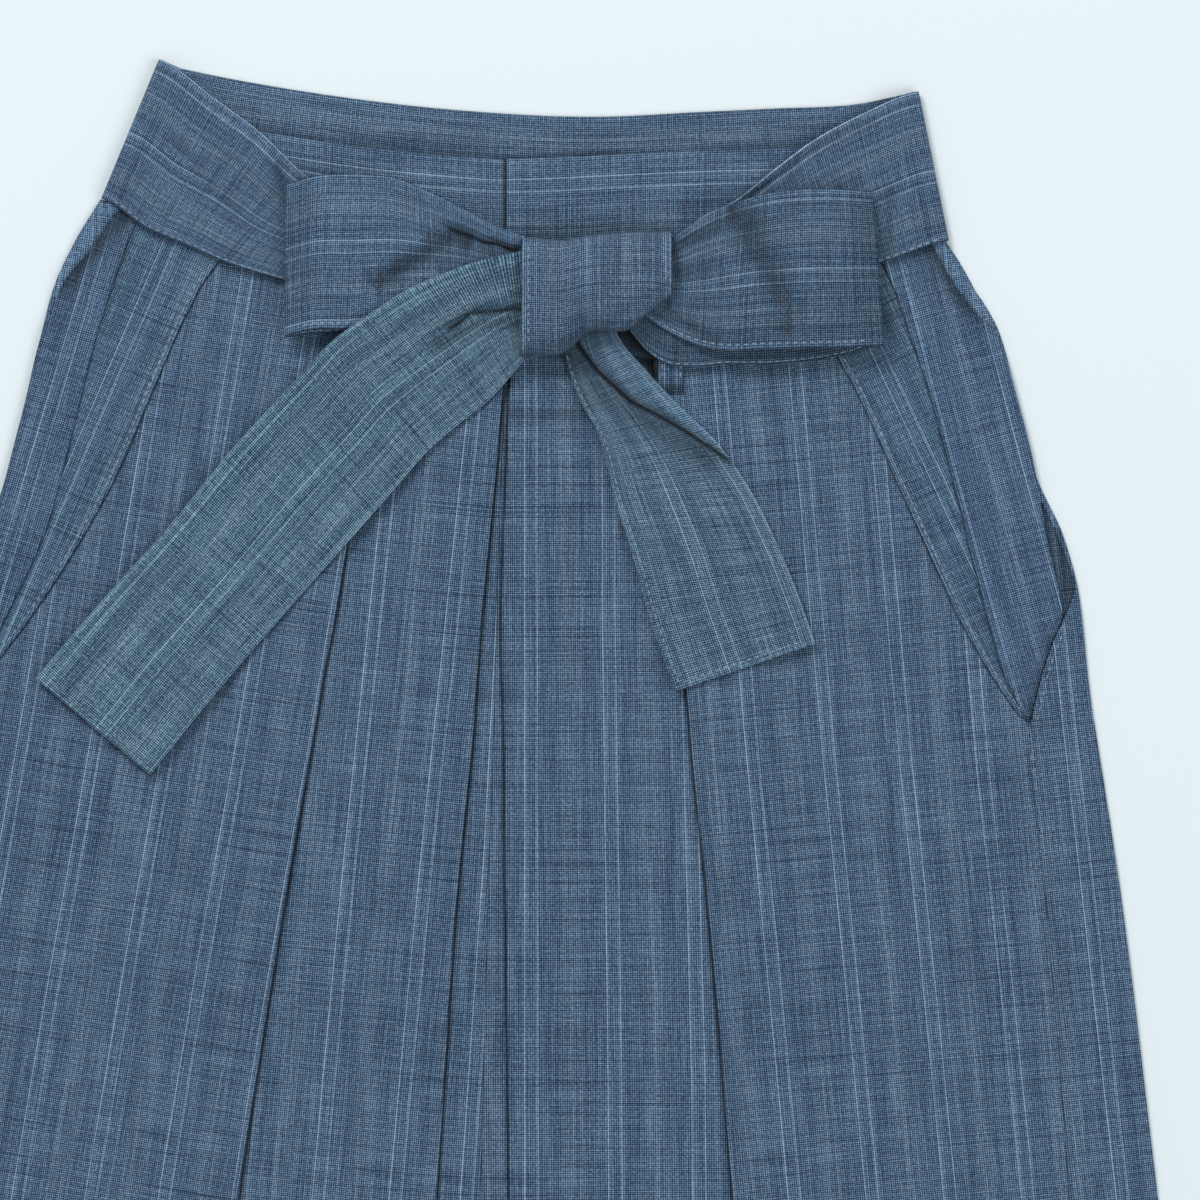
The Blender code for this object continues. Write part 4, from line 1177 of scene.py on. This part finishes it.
tails = {
    "left": {
        "rows": (
            ((12, -69), (14, -126.5), 18, 14),
            ((5.4, -70.5), (9.5, -127.5), 18.5, 14),
            ((-17.5, -76), (4.5, -131.5), 19.5, 11.5),
            ((-37, -83), (-2.5, -139.5), 20.5, 8.5),
            ((-56, -92), (-12, -149.5), 21, 6.5),
            ((-73, -103), (-26.5, -161), 20, 6.1),
            ((-93, -117), (-43.5, -176), 14, 6.1),
            ((-113, -138), (-61, -196), 7.5, 6.1),
            ((-143, -170), (-87.5, -226), 6.1, 6.1),
            ((-180, -215), (-122, -265), 6.1, 6.1),
            ((-217, -256), (-158, -307), 6.1, 6.1),
            ((-251, -296), (-190, -347), 6.1, 6.1),
        ),
        "creases": (
            (((14, -98), (5.3, -100.3), (-10, -101.3), (-20.7, -102.2), (-27, -107.6), (-44, -116)),
             2.2, -3.0),
            (((14, -93), (-6, -95), (-24, -97), (-40, -106)), 5, 1.4),
            (((6, -112), (-12, -122), (-34, -140)), 6, 1.0),
            (((-60, -112), (-84, -132), (-110, -160)), 9, 0.8),
            (((-96, -180), (-130, -214), (-168, -254)), 14, 0.9),
            (((-70, -176), (-92, -198), (-116, -226)), 8, -0.6),
            (((-190, -238), (-206, -262), (-214, -288)), 10, -0.5),
        ),
        # Painted shadow under the overlapping fold and below it, a painted highlight above it, and painted
        # shade by the knot.
        "shades": (
            (((12, -100.5), (5.3, -101), (-10, -102.2), (-21, -103), (-28, -109), (-34, -112)), 1.4, -0.8),
            (((8, -107), (-14, -108), (-30, -114), (-44, -122)), 4.5, -0.32),
            (((8, -96), (-12, -98), (-30, -102)), 2.5, 0.12),
            (((10, -72), (6, -98), (4, -124)), 3.5, -0.25),
        ),
        "bow": 1.3,
        "steps": 170,
        "stripePhase": 41.2,
        "flat": (0.08, 0.37),
    },
    "right": {
        "rows": (
            ((24, -100), (60, -96), 9.0, 10.5),
            ((26, -111), (55, -104), 7.7, 9.5),
            ((28.6, -123.5), (56.4, -113), 7.7, 9.0),
            ((37, -148.4), (73, -134.4), 7.7, 8.6),
            ((45.6, -164), (89.4, -152), 7.3, 8.2),
            ((51.4, -183), (111.3, -173.3), 6.5, 7.0),
            ((54.6, -198), (124.6, -191.9), 6.1, 6.3),
            ((64, -228), (140, -221.5), 6.1, 6.1),
            ((74, -264), (151.6, -249), 6.1, 6.1),
            ((87.5, -303), (161.7, -277.7), 6.1, 6.1),
        ),
        "creases": (
            (((36, -110), (37, -119), (47, -132.5), (65, -148.5), (78, -155), (96, -166), (114, -179),
              (126, -188)), 1.8, -1.8),
            (((46, -110), (50, -121), (60, -133), (76, -146), (92, -157), (108, -168)), 4.0, 2.3),
            (((34, -134), (44, -156), (58, -182)), 6, 0.6),
            (((78, -190), (92, -226), (108, -262)), 12, 0.8),
            (((118, -204), (128, -232), (138, -256)), 8, -0.5),
        ),
        # Painted shadow beside the folded-over strip and in the band below it, a painted highlight on the
        # strip, and painted shade by the knot.
        "shades": (
            (((34, -110), (36, -119), (46, -133), (64, -149.5), (78, -156.5), (92, -164.5), (108, -175),
              (120, -184)), 1.5, -0.85),
            (((26, -112), (36, -127), (48, -141), (64, -155), (80, -164), (97, -174), (112, -184)),
             6.5, -0.4),
            (((26, -118), (34, -138), (44, -156)), 6, -0.25),
            (((48, -114), (60, -133), (80, -150), (102, -165), (116, -176)), 4.0, 0.3),
            (((26, -108), (44, -112), (60, -110)), 4, -0.35),
        ),
        "bow": 1.0,
        "steps": 130,
        "stripePhase": 31.1,
        "flat": (0.08, 0.2),
    },
    "lowest": 6.2,
}


def makeTail(side):
    tail = tails[side]
    grid, pattern, edge = ribbon(tail["rows"], tail["steps"], 56, tieWidth, tail["stripePhase"],
                                 bow=tail["bow"], cutEnds="end")
    lift = creaseLift(grid[..., 0], grid[..., 1], tail["creases"])
    lift += waver(grid[..., 0], grid[..., 1], 70, 0.35, 8)
    grid[..., 2] = np.maximum(grid[..., 2] + lift, tails["lowest"])
    clothPiece(side + "Tail", grid, pattern, cloth["tieWall"], clothOf[side + "Tail"],
               "tail_" + side, tail["flat"],
               shade=paintedEdgeShade(edge, 0.3) * paintedShadeOf(grid, tail["shades"]))
    return grid


knot = {
    # x, top edge, bottom edge, height
    "rows": (
        (6.5, -62.5, -126.2, 24.5),
        (10.6, -62.7, -126.7, 25.8),
        (18.6, -63.5, -125.6, 26.8),
        (29, -64.1, -123.5, 27.4),
        (35, -62.8, -118.7, 27.6),
        (40.3, -62, -113.2, 27.8),
        (46, -61.2, -111.9, 27.8),
        (55, -60.4, -112.5, 27.4),
        (63, -59.9, -111.6, 26.8),
        (71, -59.7, -104.4, 26.2),
        (79, -59.5, -98.6, 25),
        (85.5, -59.6, -93, 23),
    ),
    "floor": 9.8,
    "curl": 6.0,  # how far the cloth turns in behind
    "squareness": (0.72, 0.62),  # across and up
    "creases": (
        (((36, -124), (39, -112), (42, -98), (44, -84)), 3.2, -1.2),
        (((52, -112), (62, -104), (74, -97), (86, -90)), 3.4, 0.9),
        (((56, -104), (66, -98), (78, -92)), 3.0, -0.9),
        (((14, -66), (16, -84), (14, -104)), 6, -0.5),
        (((60, -64), (62, -80), (58, -94)), 8, -0.6),
        (((8, -110), (20, -114), (34, -116)), 5, 0.8),
        (((28, -62), (30, -74), (27, -88)), 4, 0.5),
    ),
    # Painted highlight on the rolled fold edge, with painted shade beside it and along a crease.
    "shades": (
        (((86, -90), (76, -97), (64, -105), (54, -111)), 1.4, 0.25),
        (((84, -86), (74, -93), (62, -101), (52, -107)), 2.6, -0.18),
        (((38, -118), (41, -106), (44, -90)), 2.2, -0.12),
    ),
    "stripePhase": 34.0,
    "flat": (0.08, 0.105),
}


def makeKnot():
    # The tie over the middle of the bow: a boxy arch from below to above, curled in behind.
    wall = cloth["tieWall"]
    table = np.array(knot["rows"], float)
    x = np.linspace(table[0, 0], table[-1, 0], 70)
    x = np.concatenate([[x[0], x[0] + 0.15, x[0] + 0.6], x[1:-1], [x[-1] - 0.6, x[-1] - 0.15, x[-1]]])
    dense = smoothTable(table[:, 0], table[:, 1:], x, free=True)
    middle = (dense[:, 0] + dense[:, 1]) / 2
    half = (dense[:, 0] - dense[:, 1]) / 2 - wall / 2
    angles = np.linspace(0, math.pi, 61)
    across, up = knot["squareness"]
    flatness = np.sign(np.cos(angles)) * np.abs(np.cos(angles)) ** across
    lift = np.sin(angles) ** up
    y = middle[:, None] - half[:, None] * flatness
    z = knot["floor"] + (dense[:, 2] - knot["floor"])[:, None] * lift
    inside = np.full((len(x), 1), knot["floor"])
    lower, upper = middle - half + knot["curl"], middle + half - knot["curl"]
    y = np.concatenate([lower[:, None], y, upper[:, None]], axis=1)
    z = np.concatenate([inside, z, inside], axis=1)
    grid = np.stack([np.broadcast_to(x[:, None], y.shape), y, z], axis=-1).copy()
    share = np.clip((z - knot["floor"]) / 12, 0, 1)
    lift = creaseLift(grid[..., 0], y, knot["creases"]) + waver(grid[..., 0], y, 45, 0.5, 10)
    grid[..., 2] += share * lift
    edge = np.minimum(x - x[0], x[-1] - x)[:, None]
    grid[..., 2] -= share * 0.5 * np.exp(-((edge / 0.6) ** 2))
    runs = np.linalg.norm(np.diff(grid, axis=1), axis=-1)
    along = np.concatenate([np.zeros((len(x), 1)), np.cumsum(runs, axis=1)], axis=1)
    u = np.broadcast_to((x - x[0] - knot["stripePhase"])[:, None], y.shape)
    pattern = np.stack([u, along - along[:, -1:]], axis=-1) * mm
    # Painted shade where the arch turns down towards the bow beneath it, with painted edge light and shade.
    under = 0.3 + 0.7 * ease((z - knot["floor"] - 2) / 9)
    shade = paintedEdgeShade(np.broadcast_to(edge, y.shape), 0.35) * under * paintedShadeOf(grid, knot["shades"])
    clothPiece("knotOfBow", grid, pattern, wall, clothOf["knot"], "knot", knot["flat"],
               shade=shade)
    return grid


beltLoop = {
    "x": (78.4, 91.7),
    # y, z
    "rows": ((-64, 7.6), (-100, 7.6), (-129.5, 7.55), (-135, 5.9), (-144.8, 5.7)),
    # Painted shade on the turned end, and painted shadow across the strap where it comes out from under the
    # bow.
    "shades": (
        (((76, -143), (85, -143.2), (94, -143)), 3.2, -0.72),
        (((77, -126), (93, -126)), 5, -0.3),
    ),
    "stripePhase": 3.0,
    "wall": 0.8,
    "flat": (0.0133, 0.081),
}


def makeBeltLoop():
    first, second = beltLoop["x"]
    rows = [((first, y), (second, y), z, z) for y, z in beltLoop["rows"]]
    grid, pattern, edge = ribbon(rows, 60, 18, second - first, beltLoop["stripePhase"], drop=0.2,
                                 cutEnds="end")
    clothPiece("beltLoopStrap", grid, pattern, beltLoop["wall"], clothOf["beltLoop"],
               "belt_loop", beltLoop["flat"],
               shade=paintedEdgeShade(edge) * paintedShadeOf(grid, beltLoop["shades"]))
    return grid


wrapGrids = {side: makeWrap(side) for side in ("left", "right")}
loopGrids = {side: makeLoop(side) for side in ("left", "right")}
tailGrids = {side: makeTail(side) for side in ("left", "right")}
knotGrid = makeKnot()
beltGrid = makeBeltLoop()
print("ties and bow made")


# Topstitching: one stitch is modelled and copied along each seam

stitch = {"length": 2.9, "width": 0.6, "height": 0.4, "pitch": 4.4, "aim": 1.2}
# How far each line of stitches is from its edge
seamInset = {
    "wrap": 2.8,
    "loopFront": 4.2,
    "loopBack": 2.6,
    "tailEnd": 3.6,
    "tailSide": {"left": tieWidth - 3.2, "right": 3.4},
    "pleat": 2.6,
    "opening": 3.0,
    "beltLoop": 2.2,
}
underBow = 105.0  # the wraps show from here outwards
openingFoot = (-326, -262)


def modelStitch():
    bpy.ops.mesh.primitive_uv_sphere_add(segments=6, ring_count=5, radius=0.5, location=(0, 0, 0),
                                         rotation=(0, math.pi / 2, 0))
    bpy.ops.object.transform_apply(location=False, rotation=True, scale=False)
    model = bpy.context.active_object
    points = np.array([vertex.co for vertex in model.data.vertices])
    points *= (stitch["length"], stitch["width"], stitch["height"])
    faces = [tuple(face.vertices) for face in model.data.polygons]
    bpy.data.objects.remove(model, do_unlink=True)
    return points, faces


stitchPoints, stitchFaces = modelStitch()
threadCloth = threadMaterial()


def gridLine(grid, share, width, wall, onRows=None):
    # A line along a ribbon at a distance from its first edge, on its upper face.
    t = acrossSteps(grid.shape[1], width)
    at = share / width
    k = int(np.clip(np.searchsorted(t, at) - 1, 0, len(t) - 2))
    part = (at - t[k]) / (t[k + 1] - t[k])
    line = grid[:, k] * (1 - part) + grid[:, k + 1] * part
    line = line[slice(*onRows)] if onRows else line
    return line + np.array([0, 0, wall / 2])


def stitchSeam(name, lines):
    points, faces = [], []
    for line in lines:
        runs = np.concatenate([[0], np.cumsum(np.linalg.norm(np.diff(line, axis=0), axis=1))])
        centres = np.arange(stitch["pitch"], runs[-1] - 2, stitch["pitch"])
        behind, place, ahead = (
            np.stack([np.interp(centres + offset, runs, line[:, axis]) for axis in range(3)], axis=-1)
            for offset in (-stitch["aim"], 0, stitch["aim"])
        )
        for centre, direction in zip(place, ahead - behind):
            direction = direction / np.linalg.norm(direction)
            sideways = np.cross((0, 0, 1.0), direction)
            sideways = sideways / np.linalg.norm(sideways)
            frameOf = np.stack([direction, sideways, np.cross(direction, sideways)])
            offset = len(points) * len(stitchPoints)
            points.append(stitchPoints @ frameOf + centre)
            faces += [tuple(v + offset for v in face) for face in stitchFaces]
    mesh = bpy.data.meshes.new(name)
    mesh.from_pydata((np.concatenate(points) * mm + datum).tolist(), [], faces)
    mesh.materials.append(threadCloth)
    for polygon in mesh.polygons:
        polygon.use_smooth = True
    seam = bpy.data.objects.new(name, mesh)
    bpy.context.scene.collection.objects.link(seam)
    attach(seam, "root")
    print(f"{name}: {len(points)} stitches")


def lineBeside(rows, sign, inset):
    # A line on the upper face, at a distance from the edge that each row starts at.
    line = []
    for row in rows:
        x = row[:, 0] * sign
        at = x[0] + inset
        y, z = np.interp(at, x, row[:, 1]), np.interp(at, x, row[:, 2])
        line.append((at * sign, y, z + cloth["wall"] / 2))
    return np.array(line)


def stitchAll():
    tieWall = cloth["tieWall"]
    for side in ("left", "right"):
        sign = -1 if side == "left" else 1
        wrap, loop, tail = wrapGrids[side], loopGrids[side], tailGrids[side]
        shown = np.flatnonzero((wrap[:, -4, 2] > wraps["height"] - 1) & (np.abs(wrap[:, -4, 0]) > underBow))
        rows = (shown[0] + 2, shown[-1])
        edge = gridLine(wrap, tieWidth - seamInset["wrap"], tieWidth, tieWall, rows)
        stitchSeam(side + "WrapStitches", [edge])
        half = int(loop.shape[0] * 0.5)
        stitchSeam(side + "LoopStitches", [
            gridLine(loop, tieWidth - seamInset["loopFront"], tieWidth, tieWall, (half + 8, None)),
            gridLine(loop, tieWidth - seamInset["loopBack"], tieWidth, tieWall, (10, half - 8)),
        ])
        inwards = tail[-4] - tail[-1]
        inwards = inwards / np.linalg.norm(inwards, axis=1)[:, None]
        end = (tail[-1] + inwards * seamInset["tailEnd"])[4:-4] + np.array([0, 0, tieWall / 2])
        edge = gridLine(tail, seamInset["tailSide"][side], tieWidth, tieWall, (12, -1))
        stitchSeam(side + "TailStitches", [end, edge])
        stitchSeam(side + "PleatStitches", [lineBeside(sidePleats[side], sign, seamInset["pleat"])])
        back, y = backs[side]
        rows = back[(y > openingFoot[0]) & (y < openingFoot[1])]
        folded = rows[:, :leg["backSteps"] + leg["turnSteps"]:-1]
        stitchSeam(side + "OpeningStitches", [lineBeside(folded, sign, seamInset["opening"])])
    first, second = beltLoop["x"]
    wide = second - first
    lines = [gridLine(beltGrid, share, wide, beltLoop["wall"], (20, 56))
             for share in (seamInset["beltLoop"], wide - seamInset["beltLoop"])]
    stitchSeam("beltLoopStitches", lines)
    stitchSeam("knotStitches", [knotGrid[5, 14:52] + np.array([0, 0, tieWall / 2])])


stitchAll()
print("seams stitched")


# Stage

stage = {
    "floorColour": (0.785, 0.853, 0.882),
    "floorSize": 9.0,
    "floorDrop": 0.0004,
    "viewCentre": (47.7, -254.4),  # middle of the view, in table millimetres
    "viewWidth": 0.636,
    "cameraHeight": 4.0,
    "sensor": 36.0,
    "world": ((0.92, 0.96, 1.0), 0.46),
}


def makeStage():
    bpy.ops.mesh.primitive_plane_add(size=stage["floorSize"], location=(0, 0, -stage["floorDrop"]))
    bpy.ops.object.transform_apply(location=True, rotation=False, scale=False)
    floor = bpy.context.active_object
    floor.name = "studioFloor"
    material = bpy.data.materials.new("palePaper")
    material.use_nodes = True
    shader = material.node_tree.nodes["Principled BSDF"]
    shader.inputs["Base Color"].default_value = (*stage["floorColour"], 1.0)
    shader.inputs["Roughness"].default_value = 0.95
    shader.inputs["Specular IOR Level"].default_value = 0.0
    floor.data.materials.append(material)

    camera = bpy.data.objects.new("overheadCamera", bpy.data.cameras.new("overheadCamera"))
    bpy.context.scene.collection.objects.link(camera)
    x, y = (np.array(stage["viewCentre"]) * mm + datum[:2])
    camera.location = (x, y, stage["cameraHeight"])
    camera.data.sensor_width = stage["sensor"]
    camera.data.lens = stage["sensor"] * stage["cameraHeight"] / stage["viewWidth"]
    camera.data.clip_end = 50
    bpy.context.scene.camera = camera

    for name, place, size, power, colour in (
        ("softKey", (-1.7, 3.4, 3.0), 1.6, 141, (1.0, 1.0, 0.99)),
        ("softFill", (2.5, -0.8, 2.8), 2.4, 46, (0.98, 0.99, 1.0)),
    ):
        lamp = bpy.data.lights.new(name, "AREA")
        lamp.shape = "SQUARE"
        lamp.size = size
        lamp.energy = power
        lamp.color = colour
        light = bpy.data.objects.new(name, lamp)
        bpy.context.scene.collection.objects.link(light)
        light.location = place
        light.rotation_euler = (Vector((x, y, 0)) - light.location).to_track_quat("-Z", "Y").to_euler()
    world = bpy.data.worlds.new("studioAir")
    world.use_nodes = True
    colour, strength = stage["world"]
    world.node_tree.nodes["Background"].inputs["Color"].default_value = (*colour, 1.0)
    world.node_tree.nodes["Background"].inputs["Strength"].default_value = strength
    bpy.context.scene.world = world
    bpy.context.scene.view_settings.view_transform = "Standard"


makeStage()
print("stage made")
